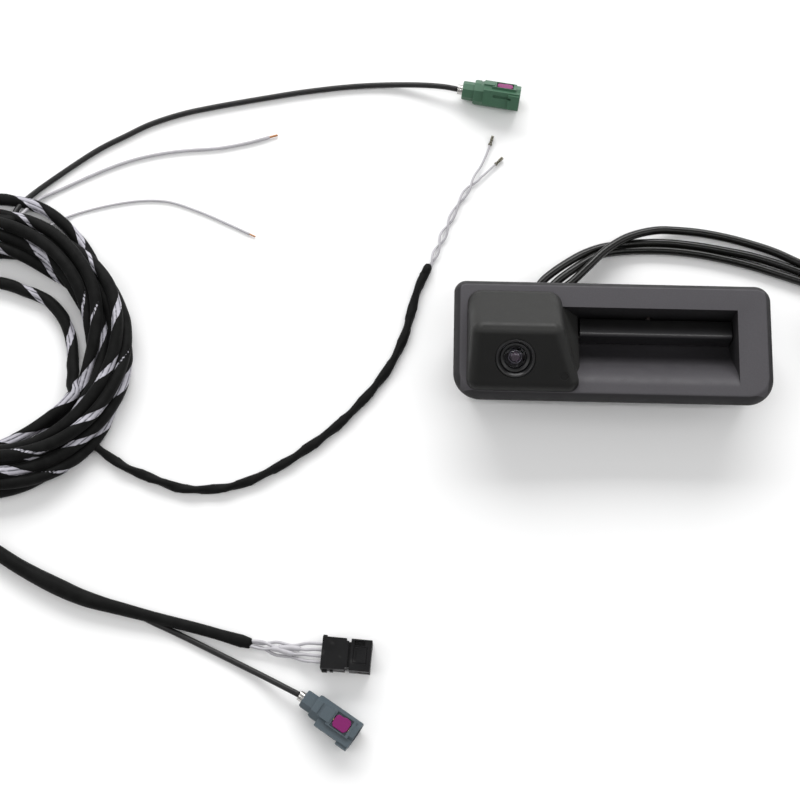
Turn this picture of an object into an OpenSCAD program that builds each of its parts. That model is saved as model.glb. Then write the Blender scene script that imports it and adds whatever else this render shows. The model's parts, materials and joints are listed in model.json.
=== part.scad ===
// Tailgate handle with a built-in reversing camera, its three pigtails,
// and the coiled wiring harness that joins it to the vehicle.
// +X runs along the handle, +Y towards its upper edge, +Z out of its face.
// The origin is the middle of the handle's rear cover, on the table.

/* [Faceplate] */
// Width of the faceplate
plate_w = 116; // [114:1:120]
// Height of the faceplate
plate_h = 44; // [43:0.5:46]
// Thickness of the faceplate
plate_t = 4.5; // [4:0.5:5]
// Height of the faceplate's front above the rear cover
front_z = 26; // [26:0.5:28]
// Radius of the upper left corner
corner_tl = 3.5; // [2:0.5:6]
// Radius of the upper right corner
corner_tr = 5; // [3:0.5:7]
// Radius of the two lower corners
corner_low = 9; // [6:0.5:10]

/* [Finger recess] */
// Left end of the recess
recess_x0 = -12; // [-12.5:0.1:-11.8]
// Right end of the recess
recess_x1 = 46; // [45.8:0.1:46.5]
// Upper edge of the recess
recess_top = 12.4; // [12.2:0.1:12.8]
// Lower edge, where the ramp leaves the face
ramp_y0 = -17.4; // [-17.6:0.1:-17]
// Height of the recess floor above the rear cover
floor_z = 6; // [5.8:0.1:6.2]

/* [Release bar] */
// Radius of the pivot pin
pin_r = 1; // [0.9:0.05:1.1]
// Radial clearance between the bar and its pin
pin_gap = 0.05; // [0.03:0.01:0.08]
// Radius of the switch plunger
plunger_r = 0.8; // [0.7:0.05:0.85]

/* [Camera] */
// Tilt of the lens axis from straight out towards the lower edge
lens_tilt = 32; // [28:1:34]
// Width of the square camera body
cam_w = 18; // [17:0.5:18]
// Outer radius of the lens bezel
bezel_r = 7.3; // [6.8:0.1:7.5]
// Radius of the front lens
front_lens_r = 4.4; // [4:0.1:4.8]

/* [Plugs] */
// Width of the coaxial plug's octagonal body
coax_w = 9.2; // [9:0.1:9.4]
// Radius of the coaxial plug's outer contact
contact_r = 2.5; // [2.3:0.1:2.6]
// Length of the four-way plug
plug4_l = 18; // [17:0.5:18]

/* [Cables] */
// Radius of the camera pigtails
pigtail_r = 1.4; // [1.3:0.05:1.5]
// Radius of the coaxial leads
coax_r = 1.1; // [1:0.05:1.2]
// Mean radius of the coiled harness
coil_mean_r = 46; // [44:1:48]
// Width across the coiled harness
coil_band = 24; // [20:1:26]

/* [Hidden] */

// Smoothness of round parts, and the small overlap that joins or cuts through
round_fn = 48;
small_fn = 24;
hull_fn = 20;
eps = 0.01;

// Faceplate and housing
back_z = front_z - plate_t;
rim_step = 0.8;
rim_t = 1.6;
wall = 1.6;
cover_t = 1.8;
house_x = 54;
house_y0 = -15.2;
house_y1 = 20;
house_corner = 4;
gasket_t = 1.2;
gasket_inset = 1.2;

// Recess
ramp_y1 = 6;
ramp_steps = 14;
tub_wall = 1.4;

// Release bar, in the plane across the handle: y, then z
pin_y = 6.2;
pin_z = 9.5;
ridge_y = 5.3;
ridge_z = 17;
ridge_r = 0.8;
bar_top_y = 11.2;
bar_top_z = 15.9;
bar_back_z = 10.4;
hub_r = 2.3;
bar_end_gap = 0.5;
spring_y = 9.9;
spring_x = [-4, 38];
spring_mean_r = 1;
spring_wire_r = 0.2;
spring_turns = 4;
spring_end_gap = 0.15;

// Microswitch above the recess
switch_x = 14.4;
switch_z = 14.5;
switch_l = 12.8;
switch_y0 = recess_top + tub_wall + 0.1;
switch_t = 4.3;
switch_d = 6.2;
plunger_tip_y = bar_top_y + 0.2;
plunger_end_y = 16.2;

// Fixings
screw_spots = [[-50, 15.8], [0, 16.2], [49.8, 15.8], [-28, -11.2], [-2, -11.2], [26, -11.2]];
screw_boss_r = 2.4;
screw_r = 1.2;
screw_head_r = 2.6;
screw_head_t = 1.2;
screw_top_z = 9;
insert_spots = [[-46, -9], [46, -9]];
insert_boss_r = 4.2;
insert_r = 3.2;
insert_bore_r = 2.1;
insert_l = 6.5;
insert_boss_top = 7.4;

// Hood over the camera
lens_at = [-36.8, -10.6, 34.2];
hood_x0 = -54.2;
hood_x1 = -13.2;
hood_y0 = -20.6;
hood_y1 = 18.4;
hood_wall = 1.8;
foot_r = 2.4;
brow_r = 4.5;
brow_x = [-48.7, -23.3];
brow_y = -1.1;
brow_z = 35.56;
chin_z = 26.4;
cam_window = [-48, -24.5, -17.2, 15];

// Camera module, measured back from the lens face along the lens axis
nose_s = 2.4;
body_s = 4.6;
seam_s = 14;
tail_s = 25.6;
case_wall = 1.3;
board_s = 16.5;
board_t = 1;
cradle_s0 = 10.5;
cradle_s1 = 20.5;
cradle_wall = 1.6;
ear_w = 3.4;

// Grommet and the three cable exits
exit_y = 23;
exit_z = 10;
exit_x = [-27, -22, -17];
exit_r = 2.4;
grommet_flange = [3.6, 1.2];

// Routes of the three pigtails from the grommet to the tied coil: x, y, z
video_route = [[-27, 23, 10], [-26.7, 25.4, 10], [-24.6, 28.6, 9.8], [-20.6, 32.4, 9],
    [-16.6, 35.7, 8], [-9.4, 40.8, 6.2], [-1.9, 44.6, 4], [6, 46.6, 2.6], [14, 47.6, 2.3],
    [25, 47.8, 2.2], [37, 46.6, 2.2], [48, 44.8, 2.2], [57, 43, 2.2], [66, 40.4, 2.2],
    [76, 36.8, 2.2], [87, 32.6, 2.2], [97, 28.4, 2.2]];
power_route = [[-22, 23, 10], [-21.7, 25.4, 10], [-19.4, 28.2, 9.8], [-14.4, 32.6, 9],
    [-9.5, 36.6, 7.4], [-3.9, 40.6, 5.4], [3, 43.2, 3.4], [13.6, 44.6, 2.2],
    [25.3, 44.6, 2.2], [37, 43.4, 2.2], [47.5, 41.4, 2.2], [56.5, 39.2, 2.2],
    [65.5, 36.4, 2.2], [76, 33, 2.2], [87, 29.2, 2.2], [95.4, 25.8, 2.2]];
switch_route = [[-17, 23, 10], [-16.7, 25.4, 10], [-14, 27.8, 9.9], [-7, 35.2, 9.2],
    [-0.6, 42, 8], [6.9, 47.6, 6.4], [13.4, 50.6, 5], [20.7, 52.6, 3.6], [27, 53, 2.6],
    [37, 52.4, 2.2], [48, 50.4, 2.2], [57, 48, 2.2], [66, 45, 2.2], [76, 40.4, 2.2],
    [87, 36.2, 2.2], [98.6, 31.4, 2.2]];

// The tied coil of the pigtails, and their tails to the three plugs
tied_at = [101, 8];
tied_r = [11.4, 20.6];
tied_z = [0.6, 10];
power_tail = [[114.2, 8, 8.2], [114.2, 1, 7.4], [113.2, -7, 4.4], [110.4, -14, 2.2],
    [107.4, -20, 2.4], [106, -26, 3.6], [106, -30, 3.7]];
video_tail = [[117, 8, 8.2], [117.2, 1, 7.4], [117.9, -7, 4.4], [118.6, -14, 2.2],
    [119.2, -21, 2.8], [119.4, -26, 4.6], [119.4, -30, 4.7]];
switch_tail = [[119.8, 8, 8.2], [120.4, 1, 7.4], [122.4, -7, 4.4], [125.6, -14, 2.2],
    [128.6, -20, 2.4], [130, -25, 3.2], [130, -30, 3.2]];

// Plugs on the tails: where each starts, then width, length and height
power_plug_at = [106, -30, 0.1];
power_plug_size = [11.2, 20, 7.2];
video_plug_at = [119.4, -30, 4.7];
switch_plug_at = [130, -30, 0.1];
switch_plug_size = [6.4, 17, 6.2];
crimp_pitch = 2.5;
crimp_cavity = 1.6;
crimp_latch = [3, 1.2];

// The harness coil
coil_at = [-236, -3];
coil_h = 13;

// Axes of the two coaxial plugs of the harness: rear point, heading, roll
green_at = [-56.4, 110.4, 4.7];
green_turn = -8.5;
green_roll = -45;
grey_at = [-110.4, -131.2, 4.7];
grey_turn = -33;
grey_roll = 0;
coax_l = 23.5;
coax_collar = 6.5;
coax_collar_w = 7.6;
coax_bore_r = 3.8;
rib_t = 2.6;
rib_w = 5;
rib_x0 = 8.5;
rib_wall = 1.2;
cavity_x0 = 8;
lock_l = 5.4;
lock_w = 5.2;
lock_x = 16.6;
lock_t = 0.9;
ferrule_r = 1.9;
ferrule_l = 6;
contact_l = 14;
contact_wall = 0.4;
core_r = 0.4;

// Routes of the harness leads
green_route = [[-232, 50, 5], [-229.5, 57, 3.2], [-225.3, 62.6, 1.6], [-215, 71.6, 1.2],
    [-200, 83.1, 1.2], [-190, 89, 1.2], [-180.8, 94.2, 1.2], [-168.3, 99, 1.2],
    [-157, 102, 1.2], [-145.4, 104.6, 1.2], [-133, 107.2, 1.2], [-121.5, 109.5, 1.2],
    [-105.5, 112, 1.2], [-93.5, 113.2, 1.3], [-81.5, 113.5, 1.9], [-71, 112.8, 3.4],
    [-63, 111.6, 4.6], [-58.4, 110.7, 4.7]];
grey_route = [[-178, -99.6, 3.4], [-168.1, -104.2, 1.8], [-158.7, -108.2, 1.2],
    [-149.4, -112.4, 1.2], [-138.1, -117.6, 1.3], [-127, -122.8, 2.2], [-118, -127.2, 4.1],
    [-112.1, -130.1, 4.7]];
long_route = [[-228.6, 53, 4], [-222.9, 60.5, 1.4], [-214.6, 65.4, 0.8], [-199.4, 73.4, 0.8],
    [-189.5, 77.8, 0.8], [-180, 80.8, 0.8], [-168.2, 83.1, 0.8], [-152.4, 84.8, 0.8],
    [-140.6, 87.5, 0.8], [-133, 89.9, 0.8]];
short_route = [[-217, 49, 3.5], [-212.8, 52.6, 1.4], [-209.1, 54.8, 0.6],
    [-198.3, 58.4, 0.6], [-186.7, 61, 0.6], [-178.8, 61.8, 0.6], [-170.9, 61.3, 0.6],
    [-158.9, 57.4, 0.6], [-146.8, 52.2, 0.6], [-139, 48.6, 0.6]];
taped_route = [[-196, -36.5, 4], [-191.7, -39.6, 2.4], [-186.2, -43.2, 1.9],
    [-179.2, -47.4, 1.9], [-167.6, -52.2, 1.9], [-160, -54.1, 1.9], [-152, -54.3, 1.9],
    [-145, -53.7, 1.9], [-137.6, -52.2, 1.9], [-129.5, -49, 1.9], [-119.3, -42.6, 1.9],
    [-108.3, -33.6, 1.9], [-97.3, -23.8, 1.9], [-86.3, -11, 1.9], [-79, 3.9, 1.9],
    [-74.7, 18, 1.9], [-71.8, 27.8, 1.9], [-69, 35.4, 1.9]];
pair_route_a = [[-69.4, 34.6, 1.2], [-65.8, 44.7, 1.2], [-61.7, 55.2, 1.2], [-57.5, 64.4, 1.2],
    [-53, 72, 1.2], [-49.4, 78, 1.2], [-46.6, 84, 1.2], [-45, 89, 1.2]];
pair_route_b = [[-67.9, 35.1, 1.2], [-64.2, 44.1, 1.2], [-60.1, 54.6, 1.2], [-55.9, 63.6, 1.2],
    [-51.4, 70.6, 1.2], [-46.8, 76, 1.2], [-42.4, 80.6, 1.2]];
main_route = [[-285.5, -33, 4], [-283, -40, 3.4], [-278, -48.5, 2.9], [-270.5, -56.5, 2.9],
    [-261, -63.5, 2.9], [-250, -69, 2.9], [-239, -74, 2.9], [-228.8, -78.7, 2.9],
    [-217.1, -85.5, 2.9], [-205.6, -91.2, 2.9], [-194.1, -96, 2.9], [-186.7, -98.2, 2.9],
    [-177.3, -100.5, 2.9]];
plug_route = [[-177.3, -100.5, 2.4], [-168, -102.7, 2.2], [-156.9, -105.2, 2.2],
    [-149.5, -106.9, 2.2], [-140.3, -109.2, 2.2], [-131, -111.6, 2.2]];
plug4_at = [-104.6, -114.9, 0.1];
plug4_turn = -4;
plug4_w = 11.4;
plug4_h = 8.8;
wire_r = 0.65;
main_r = 2.8;
taped_r = 1.7;
plug_branch_r = 2.1;
thin_wire_r = 0.45;
inner_lead_r = 1.2;
switch_lead_r = 0.9;

charcoal = "#3b3a3e";
dark = "#232326";
black = "#151517";
white_wire = "#d9d8de";
green = "#3c6048";
grey_blue = "#4e5d66";
magenta = "#8f2a78";
brass = "#b08d45";
steel = "#b5b5b8";

// A tube of n sides swept along the points of a route
function unit(v) = v / norm(v);
function heading(p, i) = unit(p[min(i + 1, len(p) - 1)] - p[max(i - 1, 0)]);
function side_of(h) = unit(cross(h, [0, 0, 1]));
function ring_at(p, i, r, n) =
    let (h = heading(p, i), u = side_of(h), v = cross(u, h))
    [for (k = [0 : n - 1]) p[i] + r * (u * cos(360 * (k + 0.5) / n) + v * sin(360 * (k + 0.5) / n))];

module tube(p, r, n = 8) {
    last = len(p) - 1;
    points = [for (i = [0 : last]) each ring_at(p, i, r, n)];
    walls = [for (i = [0 : last - 1], k = [0 : n - 1])
        let (a = i * n + k, b = i * n + (k + 1) % n) each [[a, b, a + n], [b, b + n, a + n]]];
    start = [for (k = [n - 1 : -1 : 0]) k];
    end = [for (k = [0 : n - 1]) last * n + k];
    polyhedron(points, concat(walls, [start], [end]), convexity = 6);
}

// Flat outlines
function arc(c, r, a0, a1, n = 6) =
    [for (i = [0 : n]) let (a = a0 + (a1 - a0) * i / n) c + r * [cos(a), sin(a)]];

module outline(w, h, tl, tr, low) {
    x = w / 2;
    y = h / 2;
    polygon(concat(
        arc([x - tr, y - tr], tr, 0, 90),
        arc([-x + tl, y - tl], tl, 90, 180),
        arc([-x + low, -y + low], low, 180, 270),
        arc([x - low, -y + low], low, 270, 360)));
}

module round_box(size, r) {
    linear_extrude(size[2]) polygon(concat(
        arc([size[0] - r, size[1] - r], r, 0, 90), arc([r, size[1] - r], r, 90, 180),
        arc([r, r], r, 180, 270), arc([size[0] - r, r], r, 270, 360)));
}

// Everything between two heights
module slab(z0, z1) {
    translate([-plate_w, -plate_w, z0]) cube([2 * plate_w, 2 * plate_w, z1 - z0]);
}

// Places its children in the plane across the handle: their x is y, their y is z
module across(x0, x1) {
    translate([x0, 0, 0]) rotate([90, 0, 90]) linear_extrude(x1 - x0) children();
}

// Ramp of the recess: an S-curve from the face down to the floor
function ramp_z(t) = floor_z + (front_z - floor_z) * (1 + cos(180 * t)) / 2;
function ramp(dy, dz) = [for (i = [0 : ramp_steps])
    let (t = i / ramp_steps) [ramp_y0 + (ramp_y1 - ramp_y0) * t + dy, ramp_z(t) + dz]];

module recess_space() {
    polygon(concat(ramp(0, 0), [[recess_top, floor_z], [recess_top, front_z + 1], [ramp_y0, front_z + 1]]));
}

module tub_section() {
    polygon(concat(ramp(-tub_wall, -tub_wall), [[recess_top + tub_wall, floor_z - tub_wall],
        [recess_top + tub_wall, back_z + 1], [ramp_y0, back_z + 1]]));
}

// Camera frame: z runs out along the lens axis, and s back from the lens face
module camera_frame() { translate(lens_at) rotate([lens_tilt, 0, 0]) children(); }
module square_block(w, s0, s1, r) { translate([-w / 2, -w / 2, -s1]) round_box([w, w, s1 - s0], r); }
module disc(r, s0, s1) { translate([0, 0, -s1]) cylinder(r = r, h = s1 - s0, $fn = round_fn); }

// ---- Handle ----

module faceplate() {
    color(charcoal) difference() {
        union() {
            translate([0, 0, back_z]) linear_extrude(plate_t - rim_t)
                outline(plate_w, plate_h, corner_tl, corner_tr, corner_low);
            translate([0, 0, front_z - rim_t - eps]) linear_extrude(rim_t + eps)
                outline(plate_w - 2 * rim_step, plate_h - 2 * rim_step,
                    corner_tl - rim_step, corner_tr - rim_step, corner_low - rim_step);
            intersection() {
                across(recess_x0 - tub_wall, recess_x1 + tub_wall) tub_section();
                translate([-plate_w / 2, house_y0 + wall + 0.1, 0]) cube([plate_w, 40, front_z]);
            }
        }
        across(recess_x0, recess_x1) recess_space();
        translate([cam_window[0], cam_window[2], back_z - 1])
            cube([cam_window[1] - cam_window[0], cam_window[3] - cam_window[2], plate_t + 2]);
        translate([recess_x0 - tub_wall - 1, pin_y, pin_z]) rotate([0, 90, 0])
            cylinder(r = pin_r, h = recess_x1 - recess_x0 + 2 * tub_wall + 2, $fn = round_fn);
        translate([switch_x, recess_top - 1, switch_z]) rotate([-90, 0, 0])
            cylinder(r = plunger_r + 0.5, h = tub_wall + 2, $fn = round_fn);
    }
}

module hood_form(inset) {
    low = foot_r - inset;
    chin_inset = foot_r + 0.6;
    hull() {
        for (x = brow_x) translate([x, brow_y, brow_z]) sphere(r = brow_r - inset, $fn = hull_fn);
        for (x = [hood_x0 + foot_r, hood_x1 - foot_r], y = [hood_y0 + foot_r, hood_y1 - foot_r])
            translate([x, y, front_z - inset]) cylinder(r = low, h = 0.2, $fn = hull_fn);
        for (x = [hood_x0 + chin_inset, hood_x1 - chin_inset])
            translate([x, hood_y0 + foot_r, chin_z]) sphere(r = low, $fn = hull_fn);
    }
}

module camera_hood() {
    color(dark) difference() {
        intersection() {
            hood_form(0);
            slab(front_z, 2 * front_z);
        }
        hood_form(hood_wall);
        camera_frame() disc(bezel_r + 0.05, -5, 12);
    }
}

module housing_outline(inset) {
    translate([-house_x + inset, house_y0 + inset, 0])
        round_box([2 * (house_x - inset), house_y1 - house_y0 - 2 * inset, back_z], house_corner - inset);
}

// Rib that joins a screw boss to the wall nearest to it
module boss_rib(p) {
    y0 = p[1] > 0 ? p[1] : house_y0 + wall / 2;
    y1 = p[1] > 0 ? house_y1 - wall / 2 : p[1];
    translate([p[0] - wall / 2, y0, cover_t]) cube([wall, y1 - y0, screw_top_z + 1 - cover_t]);
}

module rear_housing() {
    color(black) difference() {
        union() {
            difference() {
                intersection() {
                    housing_outline(0);
                    slab(cover_t, back_z);
                }
                translate([0, 0, -1]) housing_outline(wall);
                translate([0, 0, 5]) housing_outline(wall);
            }
            for (p = screw_spots) {
                translate([p[0], p[1], cover_t])
                    cylinder(r = screw_boss_r, h = screw_top_z + 1 - cover_t, $fn = round_fn);
                boss_rib(p);
            }
            for (p = insert_spots) translate([p[0], p[1], 0])
                cylinder(r = insert_boss_r, h = insert_boss_top, $fn = round_fn);
            for (p = insert_spots) translate([p[0] - 1, house_y0 + 0.5, cover_t])
                cube([2, 3, insert_boss_top - cover_t]);
        }
        for (p = screw_spots) translate([p[0], p[1], 0])
            cylinder(r = screw_r, h = screw_top_z, $fn = round_fn);
        for (p = insert_spots) translate([p[0], p[1], -1]) {
            cylinder(r = insert_r, h = insert_l + 1, $fn = round_fn);
            cylinder(r = insert_bore_r, h = 20, $fn = round_fn);
        }
        for (x = exit_x) translate([x, house_y1 - wall - 1, exit_z]) rotate([-90, 0, 0])
            cylinder(r = exit_r, h = wall + 2, $fn = round_fn);
    }
}

module rear_cover() {
    color(black) difference() {
        intersection() {
            housing_outline(0);
            slab(0, cover_t);
        }
        for (p = screw_spots) translate([p[0], p[1], -1]) {
            cylinder(r = screw_r + 0.2, h = 5, $fn = round_fn);
            cylinder(r = screw_head_r + 0.1, h = 1 + screw_head_t, $fn = round_fn);
        }
        for (p = insert_spots) translate([p[0], p[1], -1])
            cylinder(r = insert_boss_r + 0.1, h = 5, $fn = round_fn);
    }
}

module cover_screws() {
    color(steel) for (p = screw_spots) translate([p[0], p[1], 0]) difference() {
        union() {
            cylinder(r = screw_head_r, h = screw_head_t, $fn = round_fn);
            cylinder(r = screw_r, h = screw_top_z - 0.5, $fn = round_fn);
        }
        for (a = [0, 90]) rotate([0, 0, a]) translate([-1.4, -0.3, -1]) cube([2.8, 0.6, 1.7]);
    }
}

module rim_gasket() {
    color(black) translate([0, 0, back_z - gasket_t]) linear_extrude(gasket_t) difference() {
        outline(plate_w - 2 * gasket_inset, plate_h - 2 * gasket_inset,
            corner_tl - gasket_inset, corner_tr - gasket_inset, corner_low - gasket_inset);
        translate([-house_x, house_y0]) square([2 * house_x, house_y1 - house_y0]);
    }
}

module mounting_inserts() {
    color(brass) for (p = insert_spots) translate([p[0], p[1], 0]) difference() {
        cylinder(r = insert_r, h = insert_l, $fn = round_fn);
        translate([0, 0, -1]) cylinder(r = insert_bore_r, h = insert_l + 2, $fn = round_fn);
    }
}

module release_bar() {
    color(dark) difference() {
        across(recess_x0 + bar_end_gap, recess_x1 - bar_end_gap) union() {
            polygon(concat([[pin_y - hub_r, pin_z]],
                arc([ridge_y, ridge_z - ridge_r], ridge_r, 180, 80),
                [[bar_top_y, bar_top_z], [bar_top_y, bar_back_z], [pin_y, bar_back_z]]));
            translate([pin_y, pin_z]) circle(r = hub_r, $fn = round_fn);
        }
        translate([recess_x0, pin_y, pin_z]) rotate([0, 90, 0])
            cylinder(r = pin_r + pin_gap, h = recess_x1 - recess_x0, $fn = round_fn);
    }
}

module pivot_pin() {
    color(steel) translate([recess_x0 - tub_wall, pin_y, pin_z]) rotate([0, 90, 0])
        cylinder(r = pin_r, h = recess_x1 - recess_x0 + 2 * tub_wall, $fn = round_fn);
}

// Return springs between the recess floor and the back of the bar
spring_z0 = floor_z + spring_wire_r;
spring_z1 = bar_back_z - spring_end_gap - spring_wire_r;
spring_rings = 48;
function spring_point(x, t) = [x + spring_mean_r * cos(360 * spring_turns * t),
    spring_y + spring_mean_r * sin(360 * spring_turns * t), spring_z0 + (spring_z1 - spring_z0) * t];

module return_springs() {
    color(steel) for (x = spring_x)
        tube([for (i = [0 : spring_rings]) spring_point(x, i / spring_rings)], spring_wire_r, 6);
}

module switch_body() {
    color(black) difference() {
        translate([switch_x - switch_l / 2, switch_y0, switch_z - switch_d / 2])
            cube([switch_l, switch_t, switch_d]);
        translate([switch_x, switch_y0 - 1, switch_z]) rotate([-90, 0, 0])
            cylinder(r = plunger_r + 0.05, h = 1 + 3.2, $fn = round_fn);
    }
}

module switch_plunger() {
    color("#a03030") translate([switch_x, plunger_tip_y, switch_z]) rotate([-90, 0, 0])
        cylinder(r = plunger_r, h = plunger_end_y - plunger_tip_y, $fn = round_fn);
}

module switch_terminals() {
    pitch = 5;
    pin = [0.8, 0.5, 3];
    color(steel) for (i = [-1 : 1])
        translate([switch_x + i * pitch - pin[0] / 2, switch_y0 + 1.9, switch_z - switch_d / 2 - pin[2]])
            cube(pin);
}

// ---- Camera module ----

module camera_front_case() {
    color(black) camera_frame() difference() {
        union() {
            disc(7.6, nose_s, body_s + eps);
            square_block(cam_w, body_s, seam_s, 2);
        }
        disc(5.55, nose_s - 1, 10.5);
        square_block(cam_w - 2 * case_wall, 10.4, seam_s + 1, 1.2);
    }
}

module camera_rear_case() {
    color(dark) camera_frame() difference() {
        union() {
            square_block(cam_w, seam_s + 0.6, tail_s, 2);
            disc(3.4, tail_s - eps, tail_s + 1.6);
        }
        square_block(cam_w - 2 * case_wall, seam_s, tail_s - 1.4, 1.2);
        disc(2.5, tail_s - 2, tail_s + 3);
        for (x = [-1, 1], y = [-1, 1]) translate([x * 7, y * 7, -tail_s - 1])
            cylinder(r = 0.9, h = 12, $fn = small_fn);
    }
}

module case_seal() {
    color("#303034") camera_frame() difference() {
        square_block(cam_w - 0.4, seam_s, seam_s + 0.6, 1.8);
        square_block(cam_w - 2 * case_wall, seam_s - 1, seam_s + 2, 1.2);
    }
}

module case_screws() {
    color(steel) camera_frame() for (x = [-1, 1], y = [-1, 1]) translate([x * 7, y * 7, -tail_s - 0.8]) {
        cylinder(r = 1.5, h = 0.8, $fn = small_fn);
        cylinder(r = 0.85, h = 3, $fn = small_fn);
    }
}

module lens_barrel() {
    color(black) camera_frame() difference() {
        union() {
            disc(5.5, 0.6, 10.4);
            disc(4.6, 10.3, 13.4);
        }
        disc(front_lens_r, 0, 2.4);
        disc(2.6, 2.3, 5);
        disc(1.8, 4.9, 14);
    }
}

module lens_bezel() {
    color(black) camera_frame() difference() {
        disc(bezel_r, -0.5, hood_wall);
        disc(5.7, -1, 3);
    }
}

module front_lens() {
    color("#20242c") camera_frame() intersection() {
        disc(front_lens_r - 0.02, -1, 2.4);
        translate([0, 0, -8.6]) sphere(r = 8.6, $fn = 64);
    }
}

module inner_lens() {
    color("#2c2838") camera_frame() disc(2.55, 2.8, 4.8);
}

module lens_seal() {
    color(black) camera_frame() difference() {
        disc(7.4, hood_wall + 0.05, nose_s - 0.05);
        disc(5.8, 0, 4);
    }
}

module image_sensor() {
    color("#1f3a5f") camera_frame() translate([-3.5, -3, -board_s]) cube([7, 6, 1]);
}

module sensor_board() {
    color("#1f5a38") camera_frame() {
        square_block(14.6, board_s, board_s + board_t, 0.6);
        translate([-4, -2.5, -board_s - board_t - 2.4]) cube([8, 5, 2.4]);
    }
}

module camera_cradle() {
    outer = cam_w + 0.2 + 2 * cradle_wall;
    color(black) difference() {
        union() {
            camera_frame() square_block(outer, cradle_s0 + 1, cradle_s1, 2.4);
            for (side = [-1, 1])
                translate([lens_at[0] + side * (outer / 2 + ear_w / 2 - 0.4) - ear_w / 2, -6, back_z - 2.6])
                    cube([ear_w, 8, 2.6]);
        }
        camera_frame() square_block(cam_w + 0.1, 0, 40, 2);
        slab(back_z - eps, 2 * back_z);
        for (side = [-1, 1]) translate([lens_at[0] + side * (outer / 2 + ear_w / 2 - 0.2), -2, back_z - 5])
            cylinder(r = 0.8, h = 8, $fn = small_fn);
    }
}

module cradle_screws() {
    outer = cam_w + 0.2 + 2 * cradle_wall;
    color(steel) for (side = [-1, 1])
        translate([lens_at[0] + side * (outer / 2 + ear_w / 2 - 0.2), -2, back_z - 3.6]) {
            cylinder(r = 1.4, h = 1, $fn = small_fn);
            cylinder(r = 0.75, h = 3.6, $fn = small_fn);
        }
}

module cable_grommet() {
    color(black) difference() {
        union() {
            translate([exit_x[0] - grommet_flange[0], house_y1 - wall - grommet_flange[1],
                    exit_z - grommet_flange[0]])
                cube([exit_x[2] - exit_x[0] + 2 * grommet_flange[0], grommet_flange[1],
                    2 * grommet_flange[0]]);
            for (x = exit_x) translate([x, house_y1 - wall - eps, exit_z]) rotate([-90, 0, 0])
                cylinder(r = exit_r, h = exit_y - house_y1 + wall, $fn = round_fn);
        }
        for (x = exit_x) translate([x, 0, exit_z]) rotate([-90, 0, 0])
            cylinder(r = pigtail_r, h = exit_y - 0.5, $fn = round_fn);
    }
}

// Short leads inside the housing, from the camera and the switch to the grommet
module inner_leads() {
    color(black) {
        tube([[-38.05, 3, 12.4], [-38.05, 4.8, 9.4], [-37.4, 7, 7.4], [-35.4, 10.4, 7.2],
            [-30, 14, 8.8], [-27, 17.2, 10], [-27, 21, 10]], inner_lead_r);
        tube([[-35.55, 3, 12.4], [-35.55, 4.8, 9.4], [-34.2, 7, 7.4], [-31, 10.4, 7.2],
            [-25, 14, 8.8], [-22, 17.2, 10], [-22, 21, 10]], inner_lead_r);
        tube([[8.8, 16, 9.2], [7, 16.2, 9.4], [4, 15.9, 12], [-4, 15.8, 12],
            [-12, 15.8, 10.8], [-16.2, 16.6, 10], [-17, 18.4, 10], [-17, 21, 10]], switch_lead_r);
    }
}

// ---- Pigtails ----

module video_pigtail() { color(black) { tube(video_route, pigtail_r); tube(video_tail, pigtail_r); } }
module power_pigtail() { color(black) { tube(power_route, pigtail_r); tube(power_tail, pigtail_r); } }
module switch_pigtail() { color(black) { tube(switch_route, pigtail_r); tube(switch_tail, pigtail_r); } }

module pigtail_coil() {
    color(black) translate([tied_at[0], tied_at[1], 0]) rotate_extrude($fn = 64) polygon(concat(
        arc([tied_r[1] - 2, tied_z[1] - 2], 2, 0, 90),
        arc([tied_r[0] + 2, tied_z[1] - 2], 2, 90, 180),
        arc([tied_r[0] + 1, tied_z[0] + 1], 1, 180, 270),
        arc([tied_r[1] - 1, tied_z[0] + 1], 1, 270, 360)));
}

module pigtail_tie() {
    strap = [3, 0.6];
    across_coil = tied_r[1] - tied_r[0];
    color("#2a2a2a") translate([tied_at[0] - strap[0] / 2, tied_at[1] - tied_r[1] - strap[1], 0])
        difference() {
            cube([strap[0], across_coil + 2 * strap[1] + 0.2, tied_z[1] + strap[1]]);
            translate([-1, strap[1], 0.5]) cube([strap[0] + 2, across_coil + 0.2, tied_z[1] - 0.5]);
        }
}

// A rectangular plug that points towards -Y, with a latch and open cavities
module crimp_plug(at, size, ways) {
    translate([at[0], at[1] - size[1], at[2]]) difference() {
        union() {
            translate([-size[0] / 2, 0, 0]) cube(size);
            translate([-crimp_latch[0] / 2, 2, size[2] - eps])
                cube([crimp_latch[0], size[1] - 6, crimp_latch[1]]);
        }
        for (i = [0 : ways - 1])
            translate([(i - (ways - 1) / 2) * crimp_pitch - crimp_cavity / 2, -1,
                    (size[2] - crimp_cavity) / 2])
                cube([crimp_cavity, size[1] - 4, crimp_cavity]);
    }
}

module video_plug() { color(black) translate(video_plug_at) rotate([0, 0, -90]) coax_shape(); }
module power_plug() { color(black) crimp_plug(power_plug_at, power_plug_size, 4); }
module switch_plug() { color(black) crimp_plug(switch_plug_at, switch_plug_size, 2); }

// ---- Coaxial plugs ----

// Octagonal bar, w across its flats
module octagon_bar(w, x0, x1) {
    translate([x0, 0, 0]) rotate([90, 0, 90]) linear_extrude(x1 - x0)
        rotate([0, 0, 22.5]) circle(r = w / 2 / cos(22.5), $fn = 8);
}
module along_x(r, x0, x1) {
    translate([x0, 0, 0]) rotate([0, 90, 0]) cylinder(r = r, h = x1 - x0, $fn = round_fn);
}

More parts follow.
